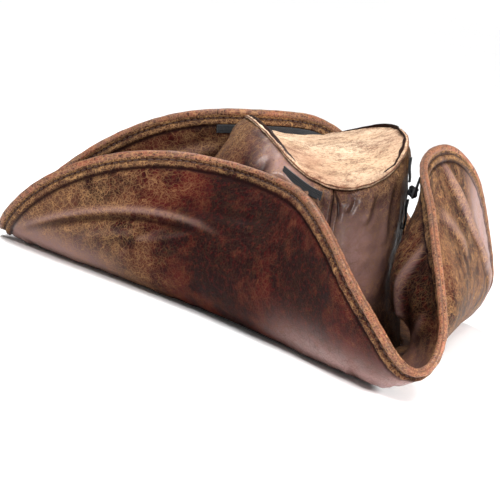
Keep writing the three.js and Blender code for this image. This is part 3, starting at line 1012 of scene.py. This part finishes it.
def stiffener_sheet(name, flap, sizes):
    """The felt between the leathers: a smooth closed sheet that stops short of the wire."""
    phi = sector_angles(flap, sizes.stations // 3)
    width = brim_width(phi)
    inset = mix(STIFFENER_INSET, width, np.linspace(0, 1, FELT_ROWS)[None, :] * np.ones_like(width))
    phi = phi + 0 * inset
    x, y = flat_point(phi, 1 - inset / width)
    wave = sheet_wave(x, y, phi, inset, sizes.softness)
    low, high = (brim_point(x, y, height + wave) for height in STIFFENER)
    return shell(name, low, high)


# One stitch: how far along it each ring lies, how fat the ring is, how fat the thickest is, how
# much longer the pitch is than the stitch, and how high it stands in its groove.
STITCH_RINGS = np.array([0.0, 0.12, 0.35, 0.65, 0.88, 1.0])
STITCH_FATNESS = np.array([0.15, 0.75, 1.0, 1.0, 0.75, 0.15])
STITCH_RADIUS = 0.42
STITCH_PITCH = 1.35
STITCH_STAND = 0.12
STITCH_SIDES = 6


def stitches(name, flap, sizes):
    """Rows of short rounded stitches in the groove behind the bead, on both faces."""
    pitch = sizes.stitch / MM * STITCH_PITCH
    middle = edge_reach(np.array(float(flap.facing)))
    count = int(np.radians(flap.last - flap.first) * middle / pitch)
    phi = flap.first + (np.arange(count) + 0.5) * (flap.last - flap.first) / count
    rings, sides = len(STITCH_RINGS), STITCH_SIDES
    fat = (STITCH_FATNESS * STITCH_RADIUS)[None, :, None]
    turn = np.linspace(0, 2 * np.pi, sides, endpoint=False)[None, None, :]
    span = (flap.last - flap.first) / count / STITCH_PITCH
    inset = STITCH_GROOVE.inset + fat * np.cos(turn)
    at = phi[:, None, None] + (STITCH_RINGS[None, :, None] - 0.5) * span + 0 * inset
    x, y = flat_point(at, 1 - inset / brim_width(at))
    wave = sheet_wave(x, y, at, inset, sizes.softness)
    stand = STITCH_STAND + fat * np.sin(turn)
    points = []
    for outside in (True, False):
        lift = face_lift(x, y, at, STITCH_GROOVE.inset + 0 * inset, sizes, outside)
        height = wave - lift - stand if outside else UPPER.high + wave + lift + stand
        points.append(brim_point(x, y, height))
    grid = np.concatenate(points).reshape(-1, rings, sides, 3)
    single = np.arange(rings * sides).reshape(rings, sides)
    ring = np.concatenate([single, single[:, :1]], 1)
    shift = (np.arange(len(grid)) * rings * sides)[:, None, None]
    ends = np.stack([single[0, ::-1], single[-1]])
    body = grid_quads(ring)[:, ::-1]
    faces = [(body[None] + shift).reshape(-1, 4), (ends[None] + shift).reshape(-1, sides)]
    return mesh_object(name, grid, faces)


class HAT_OT_brim(Operator):
    """Both leathers, the felt, the wire, the bead and the stitches of each third of the brim"""

    bl_idname = "hat.brim"
    bl_label = "Brim and flaps"

    def execute(self, context):
        """Builds every layer of the three thirds, each folded along its flap's fold."""
        sizes, colours = hat_settings()
        leather = brim_finish()
        thread = material("waxed_thread", waxed_thread, colours)
        bead_leather = material("rubbed_edge_bead", rubbed_bead, sizes, colours)
        felted = material("felt_stiffener", felt, colours)
        wired = material("drawn_wire", drawn_wire)
        for name, flap in FLAPS.items():
            corner = f"corner_{CORNER_NAMES[flap.last % 360]}"
            cad = f"flap_{name}"
            outer = brim_leather(f"outer_leather_{name}", flap, UNDER, sizes, True)
            settle(outer, leather, "brim_leather", flap, f"{cad}_under", "brim_under")
            inner = brim_leather(f"inner_leather_{name}", flap, UPPER, sizes, False)
            settle(inner, leather, "brim_leather", flap, f"{cad}_upper", "brim_upper")
            core = stiffener_sheet(f"stiffener_{name}", flap, sizes)
            settle(core, felted, "stiffener", flap, f"{cad}_stiffener", "brim_stiffener")
            radius = sizes.bead / MM
            rings, attributes = edge_rod(flap, sizes, radius, radius, BEAD_SIDES, BEAD_RIPPLE)
            bead = tube(f"edge_bead_{name}", rings, attributes)
            settle(bead, bead_leather, "edge_bead", flap, f"{cad}_edge_bead", f"{corner}_edge_bead")
            rings, _ = edge_rod(flap, sizes, WIRE_RADIUS, WIRE_INSET, WIRE_SIDES)
            wire = tube(f"edge_wire_{name}", rings)
            settle(wire, wired, "wire", flap, f"{cad}_edge_wire", f"{corner}_edge_wire")
            settle(stitches(f"stitches_{name}", flap, sizes), thread, "edge_bead", flap)
        return {"FINISHED"}


# ---- The crown


def top_height(phi, part):
    """Height of the crown's top: a tilted saddle that sags between its middle and its rim."""
    c, s = heading(phi)
    c2, s2 = heading(2 * phi)
    tilt = part * (RIM_ALONG_X * c + RIM_ALONG_Y * s)
    saddle = part**2 * (RIM_SADDLE * c2 + RIM_TWIST * s2)
    return RIM_MEAN + tilt + saddle - TIP_SAG * (1 - part**2)


WALL_CREASES = [
    Crease((259.0, 0.99), (263.5, 0.80), 1.5, 1.5, 1.2, 2.6),
    Crease((250.0, 0.97), (253.0, 0.84), -1.5, 2.2, 1.5, 1.2),
    Crease((244.0, 0.98), (240.0, 0.86), 1.5, 2.4, 1.3, 1.0),
    Crease((272.0, 0.97), (268.0, 0.86), 1.0, 2.6, 1.0, 0.8),
    Crease((286.0, 0.98), (281.0, 0.78), 2.0, 3.2, 0.9, 0.9),
    Crease((303.0, 0.97), (299.0, 0.62), -3.0, 4.5, 1.4, 1.2),
    Crease((228.0, 0.93), (214.0, 0.78), -4.0, 4.0, 1.8, 1.2),
    Crease((206.0, 0.97), (196.0, 0.60), 5.0, 6.0, 2.0, 1.4),
    Crease((380.0, 0.96), (370.0, 0.60), 5.0, 5.0, 1.6, 1.2),
    Crease((420.0, 0.96), (432.0, 0.66), -4.0, 4.5, 1.6, 1.2),
    Crease((100.0, 0.95), (116.0, 0.62), 5.0, 5.0, 1.7, 1.2),
    Crease((140.0, 0.96), (150.0, 0.58), -5.0, 5.0, 1.5, 1.2),
    Crease((345.0, 0.96), (338.0, 0.70), 3.0, 4.0, 1.3, 1.0),
]


# A place on the wall: angle, reach round it, share of the height, reach up it, and how deep or
# how strong it is. The wall rolls over at the rim in one and is pressed in at the other.
Spot = namedtuple("Spot", "phi swing share over depth")
RIM_TUCK = Spot(207, 36, 1.0, 0.28, 8.0)
WALL_PINCH = Spot(322, 26, 0.38, 0.30, 7.0)

# Painted highlights on the crown's wall, mauve with a coat of gloss: the front of its wall, and the
# crest beside its left peak, where the highlight starts at the share and is full at its reach above
# it.
FRONT_HIGHLIGHT = Spot(283, 26, 0.60, 0.30, 0.85)
CREST_HIGHLIGHT = Spot(222, 22, 0.80, 0.13, 0.75)

# The gap under the top's leather at the rim, the share of the height where the turned-in part
# of the wall ends and where its finer rows start, the rows below and above that, the columns, and
# half the gap of a seam in degrees. The welt lies at this part of the top's oval.
RIM_GAP = 1.4
WALL_END = 1.022
SHOULDER_FROM = 0.90
WALL_ROWS = 96
SHOULDER_ROWS = 28
WALL_COLUMNS = 331
HALF_SEAM_GAP = 0.12
WELT_PART = 0.985
WELT_RADIUS = 0.5


def rim_tuck(phi):
    """How far the seam of the crown's top lies in from its oval, where the wall rolls over."""
    return RIM_TUCK.depth * bell(phi % 360, RIM_TUCK.phi, RIM_TUCK.swing)


def wall_pinch(phi, share):
    """How far the wall is pressed in beside the left flap."""
    around = bell(phi % 360, WALL_PINCH.phi, WALL_PINCH.swing)
    return WALL_PINCH.depth * around * bell(share, WALL_PINCH.share, WALL_PINCH.over)


def top_place(phi, part):
    """Level place on the crown's top, with the rim drawn in by the tuck."""
    x, y = oval_point(TOP, phi, part)
    c, s = heading(phi)
    tuck = rim_tuck(phi) * part**2
    return x - tuck * c, y - tuck * s


def wall_flat(phi, share):
    """The crown's wall rolled out flat: run round it and height up it."""
    return np.radians(phi) * WALL_RADIUS, share * RIM_MEAN


def wall_point(phi, share, inward):
    """The crown's wall: straight from the opening's oval to the rim's, bulged, moved inward."""
    c, s = heading(phi)
    foot_x, foot_y = oval_point(HEAD, phi, grow=-WALL_CLEARANCE)
    head_x, head_y = oval_point(TOP, phi)
    foot = folded(foot_x, foot_y)[..., 2]
    head = top_height(phi, 1.0) - LEATHER - RIM_GAP
    facing, _ = heading(phi - WALL_BULGE_TOWARDS)
    bulge = WALL_BULGE * (0.5 + 0.5 * facing) * np.sin(np.pi * np.clip(share, 0, 1))
    rolled = smooth(share, RIM_TUCK.share - RIM_TUCK.over, 1.03) ** 1.5
    out = bulge - inward - rim_tuck(phi) * rolled - wall_pinch(phi, share)
    x = mix(foot_x, head_x, share) + out * c
    y = mix(foot_y, head_y, share) + out * s
    rise = 0.35 * rim_tuck(phi) * np.sin(np.pi * smooth(share, 0.6, 1.1))
    return np.stack([x, y, mix(foot, head, share) + rise], -1)


def wall_lift(phi, share, softness):
    """Relief of the crown's wall: soft lumps, gathers under the rim, creases, a rounded shoulder."""
    run, up = wall_flat(phi, share)
    total = layered(run, up, WALL_LUMPS) * smooth(share, 0.0, 0.15)
    total = total + 0.5 * gathers(run / 1.6, 5.0) * smooth(share, 0.80, 0.97)
    for crease in WALL_CREASES:
        ends = [wall_flat(*end) for end in (crease.first, crease.last)]
        total = total + crease_lift(run, up, ends[0], ends[1], crease)
    shoulder = 1.6 * bell(share, 0.93, 0.05)
    turned_in = -3.2 * smooth(share, 0.962, 1.03)
    return total * softness + shoulder + turned_in


def side_panel(name, first, last, softness):
    """One side of the crown between its two seams, as a closed sheet with relief outside."""
    phi = np.linspace(first + HALF_SEAM_GAP, last - HALF_SEAM_GAP, WALL_COLUMNS)[:, None]
    below = np.linspace(0, SHOULDER_FROM, WALL_ROWS)
    above = np.linspace(SHOULDER_FROM, WALL_END, SHOULDER_ROWS)[1:]
    share = np.concatenate([below, above])[None, :] + 0 * phi
    phi = phi + 0 * share
    from_seam = np.minimum(phi - first, last - phi) * np.radians(1) * WALL_RADIUS
    seam_dip = 1.1 * bell(from_seam, 0.0, 1.5) - 0.7 * bell(from_seam, 3.6, 1.8)
    lift = wall_lift(phi, share, softness) - seam_dip
    outer = wall_point(phi, share, -lift)
    follow = np.where(share < 0.96, 0.3, 1.0)
    inner = wall_point(phi, share, LEATHER - follow * lift)
    run, up = wall_flat(phi, share)
    relief = np.clip(lift, 0, 3) / 3
    # Painted highlights on the front of the wall and the crest by the left peak: mauve, more tan on
    # the crest and less on the front, besides a coat of gloss.
    front, crest = FRONT_HIGHLIGHT, CREST_HIGHLIGHT
    front_highlight = bell(phi, front.phi, front.swing) * bell(share, front.share, front.over)
    above_crest = smooth(share, crest.share, crest.share + crest.over)
    crest_highlight = bell(phi, crest.phi, crest.swing) * above_crest
    highlight_and_gloss = front.depth * front_highlight + crest.depth * crest_highlight
    tanned = 0.6 + 0.4 * lumps(run, up, 45, 24) - 0.25 * front_highlight + 0.4 * crest_highlight
    lines = sum(
        crease_lift(run, up, wall_flat(*crease.first), wall_flat(*crease.last), crease)
        for crease in WALL_CREASES
    )
    # Painted shade along the side seams, in the crease hollows and at the turned-in edge under the
    # rim.
    seam = 0.8 * bell(from_seam, 0.0, 1.0) + np.clip(-lines * 0.45, 0, 0.9)
    seam = np.maximum(seam, 0.9 * smooth(share, 0.992, 1.008))
    return shell(name, outer, inner, {
        "skin_place": np.stack([run * MM, up * MM, np.full_like(run, SKIN_WALL)], -1),
        "rubbed": np.clip(0.5 * relief + 0.35 * smooth(share, 0.86, 0.96), 0, 1),
        "polished": np.clip(highlight_and_gloss, 0, 0.9),
        "tanned": np.clip(tanned, 0, 1),
        "seam": np.clip(seam, 0, 1),
    })


def top_relief(x, y, part):
    """Relief of the crown's top: broad dents, lumps, gathers at the seam and a rounded edge."""
    run = np.arctan2(y - TOP.y, x - TOP.x) * WALL_RADIUS
    dents = 2.6 * lumps(x + 20, y, 58, 31) + layered(x, y, TOP_LUMPS)
    valley = -3.4 * bell(x, -34, 17) * bell(y, -6, 46)
    near = smooth(part, 0.82, 0.97)
    gather = 0.4 * gathers(run / 1.7, 2.0) * near
    roll = 0.7 * bell(part, 0.955, 0.022) - 2.1 * smooth(part, 0.972, 1.0)
    return (dents + valley) * (1 - smooth(part, 0.72, 0.98)) + gather + roll


def top_panel(name, down, thick, cover, softness, outer=True, columns=300, rows=84):
    """An oval panel under the crown's top, from its middle to `cover` of its half sizes.

    The outer one carries the relief, and an inner one stays below every dent of it.
    """
    phi = np.linspace(0, 360, columns, endpoint=False)[:, None]
    part = cover * np.linspace(0.0, 1.0, rows)[None, :] ** 0.9
    part = np.maximum(part, 0.004) + 0 * phi
    phi = phi + 0 * part
    x, y = top_place(phi, part)
    lift = top_relief(x, y, part) * softness
    if not outer:
        lift = np.minimum(lift, 0.0) - 0.3 + 0.25 * lumps(x, y, 12, 40)
    height = top_height(phi, part) - down
    front = np.stack([x, y, height + lift], -1)
    back = np.stack([x, y, height - thick + 0.4 * lift], -1)
    # Painted shade in the seam round the top's rim.
    seam = np.clip(0.9 * smooth(part, 0.985, 1.0), 0, 1)
    # The top is darker towards its front left.
    darker_front_left = bell(x, -38, 20) * smooth(y, 40, -20)
    mottle = 0.72 + 0.45 * lumps(x, y, 36, 34) - 0.75 * darker_front_left
    attributes = {
        "skin_place": np.stack([x * MM, y * MM, np.full_like(x, SKIN_TOP)], -1),
        "weave_place": np.stack([x * MM, y * MM, np.zeros_like(x)], -1),
        "rubbed": np.clip(0.45 * near_rim(part) + 0.2 * np.clip(lift, 0, 2), 0, 1),
        "polished": np.zeros_like(x),
        "tanned": np.clip(mottle, 0, 1),
        "seam": seam,
    }
    attributes = {label: values[:, ::-1] for label, values in attributes.items()}
    return shell(name, front[:, ::-1], back[:, ::-1], attributes, True)


def near_rim(part):
    """1 along the crown's rim, fading to 0 over its last tenth."""
    return smooth(part, 0.88, 0.97)


def inner_band(name, foot, upto, inward, thick, ribs, softness, rows=40):
    """A soft ring inside the wall between two shares of its height, pleated by `ribs`."""
    phi = CROWN_SEAMS[1] + np.linspace(0, 360, 420, endpoint=False)[:, None]
    share = mix(foot, upto, np.linspace(0, 1, rows))[None, :] + 0 * phi
    phi = phi + 0 * share
    run, up = wall_flat(phi, share)
    pleat = ribs * gathers(run / 2.2, 7.0) * np.sin(np.pi * (share - foot) / (upto - foot))
    inward = inward - np.minimum(wall_lift(phi, share, softness), 0.0)
    front = wall_point(phi, share, inward + thick + pleat)
    back = wall_point(phi, share, inward)
    weave = np.stack([run * MM, up * MM, np.zeros_like(run)], -1)
    return shell(name, front, back, {"weave_place": weave}, True)


def crown_welt(name, softness):
    """The narrow pinched ridge of the seam round the crown's top, as a closed loop of rings."""
    phi = np.linspace(0, 360, 520, endpoint=False)[:, None]
    turn = np.linspace(0, 2 * np.pi, 8, endpoint=False)[None, :]
    run = np.radians(phi) * WALL_RADIUS
    radius = WELT_RADIUS + 0.12 * gathers(run, 4.0)
    c, s = heading(phi)
    x, y = top_place(phi, WELT_PART)
    out = radius * np.cos(turn)
    up = radius * np.sin(turn)
    height = top_height(phi, WELT_PART) - 0.7 + 0.3 * gathers(run / 1.7, 2.0) * softness
    rings = np.stack([x + out * c, y + out * s, height + up], -1)
    round_about = turn * WELT_RADIUS + 0 * out
    skin = np.stack([run * MM + 0 * out, round_about * MM, np.full_like(out, SKIN_WELT)], -1)
    return tube(name, rings, {"skin_place": skin}, closed=True)


class HAT_OT_crown(Operator):
    """The crown's top, its two side panels and the pinched seam round the top"""

    bl_idname = "hat.crown"
    bl_label = "Crown"

    def execute(self, context):
        """Builds the leather of the crown."""
        sizes, colours = hat_settings()
        soft = sizes.softness
        name = "crackled_crown_leather"
        light = material(name, crackled_leather, name, sizes, colours, True)
        bead_leather = material("rubbed_edge_bead", rubbed_bead, sizes, colours)
        tip = top_panel("crown_tip_leather", 0.0, LEATHER, 1.0, soft)
        settle(tip, light, "crown_leather", ROOT, "crown_tip")
        front, back = CROWN_SEAMS
        right = side_panel("crown_side_leather_right", back, front, soft)
        settle(right, brim_finish(), "crown_leather", ROOT, "crown_side_right")
        left = side_panel("crown_side_leather_left", front, back + 360, soft)
        settle(left, brim_finish(), "crown_leather", ROOT, "crown_side_left")
        settle(crown_welt("crown_rim_welt", soft), bead_leather, "crown_leather", ROOT)
        return {"FINISHED"}


class HAT_OT_lining(Operator):
    """The woven lining of the top and side, and the ribbed sweatband"""

    bl_idname = "hat.lining"
    bl_label = "Lining and sweatband"

    def execute(self, context):
        """Builds the cloth inside the crown."""
        sizes, colours = hat_settings()
        soft = sizes.softness
        cloth = cloth_finish("woven_lining", colours.lining, 1400, 0.0002)
        band_cloth = cloth_finish("ribbed_sweatband", colours.band, 700, 0.0004)
        foot = 0.01
        tip = top_panel("lining_tip_cloth", LEATHER + 0.8, LINING, 0.92, 1.0, False, 160, 40)
        settle(tip, cloth, "lining", ROOT, "lining_tip")
        side = inner_band("lining_side_cloth", foot, 0.96, LEATHER + 1.0, LINING, 0.35, soft)
        settle(side, cloth, "lining", ROOT, "lining_side")
        top = sizes.sweatband / MM / RIM_MEAN
        inward = LEATHER + 1.5 + LINING
        band = inner_band("sweatband_cloth", foot, top, inward, SWEATBAND, 0.3, soft, 24)
        settle(band, band_cloth, "sweatband", ROOT, "sweatband")
        return {"FINISHED"}


# ---- Ties: flat woven lace

# Angles of a tie's ends, its share of the wall's height or its inset from the brim's edge, and
# how far it stands off the leather.
RIGHT_TIE = namedtuple("RightTie", "first last share stand")(224.0, 252.0, 0.94, 1.9)
BACK_TIE = namedtuple("BackTie", "first last inset stand")(83.0, 106.0, 15.0, 1.5)
LEFT_TIE = namedtuple("LeftTie", "phi top knot tail stand")(330.0, 0.97, 0.80, 0.60, 2.2)
LEFT_TIE_END = namedtuple("LeftTieEnd", "phi inset stand")(318.0, 16.0, 4.0)
TIE_SAG = 5.0

# The knot's half sizes, and the lace's thickness flat and where it is wound up.
KNOT = namedtuple("Knot", "wide deep tall")(4.2, 3.2, 4.6)
LACE_THICK = 1.4
WOUND_RADIUS = 1.35
UPWARDS = np.array([0.0, 0.0, 1.0])


def lace_tube(name, spine, across, width):
    """A flat lace: a rounded slot section carried along spine, wide along across."""
    across = unit(across)
    along = unit(np.gradient(spine, axis=0))
    out = unit(np.cross(along, across))
    turn = np.linspace(0, 2 * np.pi, 20, endpoint=False)
    squared = 0.45
    wide = np.sign(np.cos(turn)) * np.abs(np.cos(turn)) ** squared * width / 2
    thick = np.sign(np.sin(turn)) * np.abs(np.sin(turn)) ** squared * LACE_THICK / 2
    thick = thick * (1 + 0.25 * np.cos(wide / width * 4 * np.pi))
    rings = (
        spine[:, None, :]
        + wide[None, :, None] * across[:, None, :]
        + thick[None, :, None] * out[:, None, :]
    )
    steps = np.linalg.norm(np.diff(spine, axis=0), axis=1)
    run = np.concatenate([[0.0], np.cumsum(steps)])[:, None] + 0 * wide[None, :]
    weave = np.stack([run * MM, (wide + thick)[None, :] * MM + 0 * run, 0 * run], -1)
    return tube(name, rings, {"weave_place": weave})


def away(phi):
    """Level direction away from the crown's middle."""
    c, s = heading(phi)
    return np.stack([c, s, 0 * c], -1)


def right_tie(width):
    """A lace round the crown's right front, just under its rim, slightly rumpled."""
    phi = np.linspace(RIGHT_TIE.first, RIGHT_TIE.last, 60)
    rumple = 0.35 * np.sin(np.linspace(0, 9, 60))
    share = RIGHT_TIE.share + 0.004 * np.sin(np.linspace(0, 5, 60))
    spine = wall_point(phi, share, -RIGHT_TIE.stand - 0.4 - rumple)
    return lace_tube("right_tie_lace", spine, UPWARDS + 0 * spine, width)


def back_tie(width, softness):
    """A lace on the inside of the back flap, just under its edge."""
    phi = np.linspace(BACK_TIE.first, BACK_TIE.last, 60)

    def line(inset):
        x, y = flat_point(phi, 1 - inset / brim_width(phi))
        wave = sheet_wave(x, y, phi, inset + 0 * phi, softness)
        return brim_point(x, y, UPPER.high + BACK_TIE.stand + wave + 0.3 * np.sin(phi))

    across = line(BACK_TIE.inset - 1) - line(BACK_TIE.inset + 1)
    return lace_tube("back_tie_lace", line(BACK_TIE.inset), across, width)


def knot_middle():
    """The middle of the knot, clear of the crown's left wall."""
    return wall_point(np.array(LEFT_TIE.phi), np.array(LEFT_TIE.knot), -LEFT_TIE.stand - KNOT.deep)


def left_axes():
    """Across, out and up directions at the left tie."""
    out = away(np.array(LEFT_TIE.phi))
    return np.cross(UPWARDS, out), out, UPWARDS


def wall_lace(name, first, last, width):
    """A lace down the crown's left wall between two shares of its height."""
    share = np.linspace(first, last, 30)
    spine = wall_point(LEFT_TIE.phi + 0 * share, share, -LEFT_TIE.stand - 0.3 * np.sin(share * 60))
    return lace_tube(name, spine, left_axes()[0] + 0 * spine, width)


def knot_loops(name):
    """The knot: a lace wound along a three-lobed knot curve, squeezed into an egg."""
    across, out, up = left_axes()
    turn = np.linspace(0, 2 * np.pi, 120, endpoint=False)
    lobe = 0.42
    waist = 1.0 + lobe * np.cos(3 * turn)
    path = np.stack([waist * np.cos(2 * turn), waist * np.sin(2 * turn), np.sin(3 * turn)], -1)
    thick = WOUND_RADIUS
    wide, tall = (KNOT.wide - thick) / (1 + lobe), (KNOT.tall - thick) / (1 + lobe)
    path = path * np.array([wide, tall, (KNOT.deep - thick) * 1.4])
    spine = knot_middle() + path[:, :1] * across + path[:, 1:2] * up + path[:, 2:] * out
    along = unit(np.roll(spine, -1, 0) - np.roll(spine, 1, 0))
    side = unit(np.cross(along, out + 0 * along))
    lift = np.cross(side, along)
    ring = np.linspace(0, 2 * np.pi, 12, endpoint=False)
    rings = (
        spine[:, None]
        + thick * np.cos(ring)[None, :, None] * side[:, None]
        + 0.8 * thick * np.sin(ring)[None, :, None] * lift[:, None]
    )
    steps = np.linalg.norm(np.roll(spine, -1, 0) - spine, axis=1)
    run = np.cumsum(steps)[:, None] + 0 * ring[None, :]
    weave = np.stack([run * MM, ring[None, :] * thick * MM + 0 * run, 0 * run], -1)
    return tube(name, rings, {"weave_place": weave}, closed=True)


def span_lace(name, width, softness):
    """The lace that hangs in a shallow curve from the knot to the inside of the left flap."""
    start = knot_middle()
    phi = np.array(LEFT_TIE_END.phi)
    x, y = flat_point(phi, 1 - LEFT_TIE_END.inset / brim_width(phi))
    wave = sheet_wave(x, y, phi, np.array(LEFT_TIE_END.inset), softness)
    end = brim_point(x, y, UPPER.high + LEFT_TIE_END.stand + wave)
    first = (KNOT.tall - 1.0) / np.linalg.norm(end - start)
    part = np.linspace(first, 1.0, 40)[:, None]
    spine = start + (end - start) * part - UPWARDS * TIE_SAG * 4 * part * (1 - part)
    return lace_tube(name, spine, UPWARDS + 0 * spine, width)


class HAT_OT_ties(Operator):
    """The black laces that hold the flaps up, with the knot at the left"""

    bl_idname = "hat.ties"
    bl_label = "Ties"

    def execute(self, context):
        """Builds the six parts of the ties."""
        sizes, colours = hat_settings()
        lace = cloth_finish("black_lace", colours.lace, 950, 0.00045, 0.12)
        width = sizes.lace / MM
        share = (KNOT.tall + 1.0) / RIM_MEAN
        settle(right_tie(width), lace, "lace", ROOT, "right_tie")
        settle(back_tie(width, sizes.softness), lace, "lace", "back_flap", "back_tie")
        upper = wall_lace("left_tie_upper_lace", LEFT_TIE.knot + share, LEFT_TIE.top, width)
        settle(upper, lace, "lace", ROOT, "left_tie_lace")
        tail = wall_lace("left_tie_hanging_tail", LEFT_TIE.tail, LEFT_TIE.knot - share, width)
        settle(tail, lace, "lace", ROOT, "left_tie_tail")
        settle(knot_loops("left_tie_wound_knot"), lace, "lace", ROOT, "left_tie_knot")
        span = span_lace("left_tie_span_lace", width, sizes.softness)
        settle(span, lace, "lace", ROOT, "left_tie_span")
        return {"FINISHED"}


# ---- Stage

# A lamp: how far it stands from the hat's middle, in metres, its size and its power.
Lamp = namedtuple("Lamp", "name x y z size power")
LAMPS = (
    Lamp("key_light", -0.25, -1.05, 0.70, 0.22, 11.0),
    Lamp("rim_light", -0.10, 0.80, 0.95, 0.35, 6.0),
    Lamp("fill_light", 0.80, -0.80, 0.50, 0.30, 19.0),
)
SUN_FROM = (-0.38, -0.05, 1.0)
SUN_STRENGTH = 2.8
SUN_WIDTH = 26.0
FLOOR_HALF = 40.0

# The view: it looks at `aim` from `azimuth` round to the left and `elevation` up, from
# `distance` away, and the camera is rolled so that the hat leans.
View = namedtuple("View", "azimuth elevation roll distance lens aim slide rise")
VIEW = View(-22.5, 8.0, 14.2, 1.400, 138.2, (0.018, 0.002, 0.050), -0.0523, 0.0014)


def view_axes(view):
    """Right, up and back directions of the rolled camera."""
    a, e, r = np.radians([view.azimuth, view.elevation, view.roll])
    back = np.array([np.sin(a) * np.cos(e), -np.cos(a) * np.cos(e), np.sin(e)])
    right = np.array([np.cos(a), np.sin(a), 0.0])
    up = np.cross(back, right)
    return np.cos(r) * right + np.sin(r) * up, np.cos(r) * up - np.sin(r) * right, back


def add_camera(view):
    """Places the camera on the view's axis and aims it at the frame's middle."""
    right, up, back = view_axes(view)
    place = np.array(view.aim) + back * view.distance
    target = np.array(view.aim) + right * view.slide + up * view.rise
    towards = unit(place - target)
    side = unit(np.cross(up, towards))
    top = np.cross(towards, side)
    camera = bpy.data.objects.new("studio_camera", bpy.data.cameras.new("studio_camera"))
    camera.data.lens = view.lens
    bpy.context.scene.collection.objects.link(camera)
    rotation = Matrix([side, top, towards]).transposed().to_4x4()
    camera.matrix_world = Matrix.Translation(Vector(place)) @ rotation
    bpy.context.scene.camera = camera


def add_light(name, place, size, power, target):
    """A square soft light that shines from place at target."""
    data = bpy.data.lights.new(name, "AREA")
    data.shape = "SQUARE"
    data.size = size
    data.energy = power
    lamp = bpy.data.objects.new(name, data)
    lamp.location = place
    direction = Vector(target) - Vector(place)
    lamp.rotation_euler = direction.to_track_quat("-Z", "Y").to_euler()
    bpy.context.scene.collection.objects.link(lamp)


def add_sun(name, from_direction, strength, softness):
    """An even light from far away, whose disc is `softness` degrees across."""
    data = bpy.data.lights.new(name, "SUN")
    data.energy = strength
    data.angle = np.radians(softness)
    lamp = bpy.data.objects.new(name, data)
    lamp.rotation_euler = (-Vector(from_direction)).to_track_quat("-Z", "Y").to_euler()
    bpy.context.scene.collection.objects.link(lamp)


def studio_surroundings():
    """White surroundings near the floor's horizon that dim towards the ceiling."""
    world = bpy.data.worlds.new("studio_surroundings")
    world.use_nodes = True
    tree = world.node_tree
    direction = make(tree, "ShaderNodeTexCoord")
    towards = Sum(tree, direction.outputs["Generated"])
    parts = make(tree, "ShaderNodeSeparateXYZ", inputs={0: towards})
    rise = Sum(tree, parts.outputs[2])
    brightness = 0.22 + 0.82 * rise.eased(0.26, 0.12)
    grey = {channel: brightness for channel in range(3)}
    shade = make(tree, "ShaderNodeCombineColor", inputs=grey)
    tree.links.new(shade.outputs[0], tree.nodes["Background"].inputs["Color"])
    tree.nodes["Background"].inputs["Strength"].default_value = 1.0
    return world


class HAT_OT_stage(Operator):
    """The pale floor, the soft studio lights, the white surroundings and the camera"""

    bl_idname = "hat.stage"
    bl_label = "Stage"

    def execute(self, context):
        """Builds everything around the hat."""
        low, high = (np.array(corner) for corner in CAD_BOX)
        middle = (low + high) / 2
        half = FLOOR_HALF / MM
        corners = [(-1, -1), (1, -1), (1, 1), (-1, 1)]
        points = [(x * half, y * half, low[2] / MM) for x, y in corners]
        floor = mesh_object("studio_floor", points, [[[0, 1, 2, 3]]])
        floor.data.materials.append(pale_studio())
        context.scene.world = studio_surroundings()
        context.scene.view_settings.view_transform = "Standard"
        add_sun("soft_overhead_sun", SUN_FROM, SUN_STRENGTH, SUN_WIDTH)
        for lamp in LAMPS:
            place = middle + [lamp.x, lamp.y, lamp.z]
            add_light(lamp.name, place, lamp.size, lamp.power, middle)
        add_camera(VIEW)
        return {"FINISHED"}


# ---- Panel, registration and the run


class HAT_PT_panel(Panel):
    """The hat's settings and the steps that build it"""

    bl_label = "Pirate hat"
    bl_idname = "HAT_PT_panel"
    bl_space_type = "VIEW_3D"
    bl_region_type = "UI"
    bl_category = "Hat"

    def draw(self, context):
        """Lists every setting and every step."""
        for group in (context.scene.hat_sizes, context.scene.hat_colours):
            for name in group.__annotations__:
                self.layout.prop(group, name)
        for step in STEPS:
            self.layout.operator(step.bl_idname)


STEPS = (HAT_OT_brim, HAT_OT_crown, HAT_OT_lining, HAT_OT_ties, HAT_OT_stage)
CLASSES = (HatSizes, HatColours, *STEPS, HAT_PT_panel)


def register():
    """Adds the classes and the scene's settings."""
    for part in CLASSES:
        bpy.utils.register_class(part)
    bpy.types.Scene.hat_sizes = PointerProperty(type=HatSizes)
    bpy.types.Scene.hat_colours = PointerProperty(type=HatColours)


def unregister():
    """Removes what register added."""
    del bpy.types.Scene.hat_colours
    del bpy.types.Scene.hat_sizes
    for part in reversed(CLASSES):
        bpy.utils.unregister_class(part)


def main():
    """Builds the whole hat and its stage."""
    register()
    bpy.ops.hat.brim()
    bpy.ops.hat.crown()
    bpy.ops.hat.lining()
    bpy.ops.hat.ties()
    bpy.ops.hat.stage()


if __name__ == "__main__":
    main()
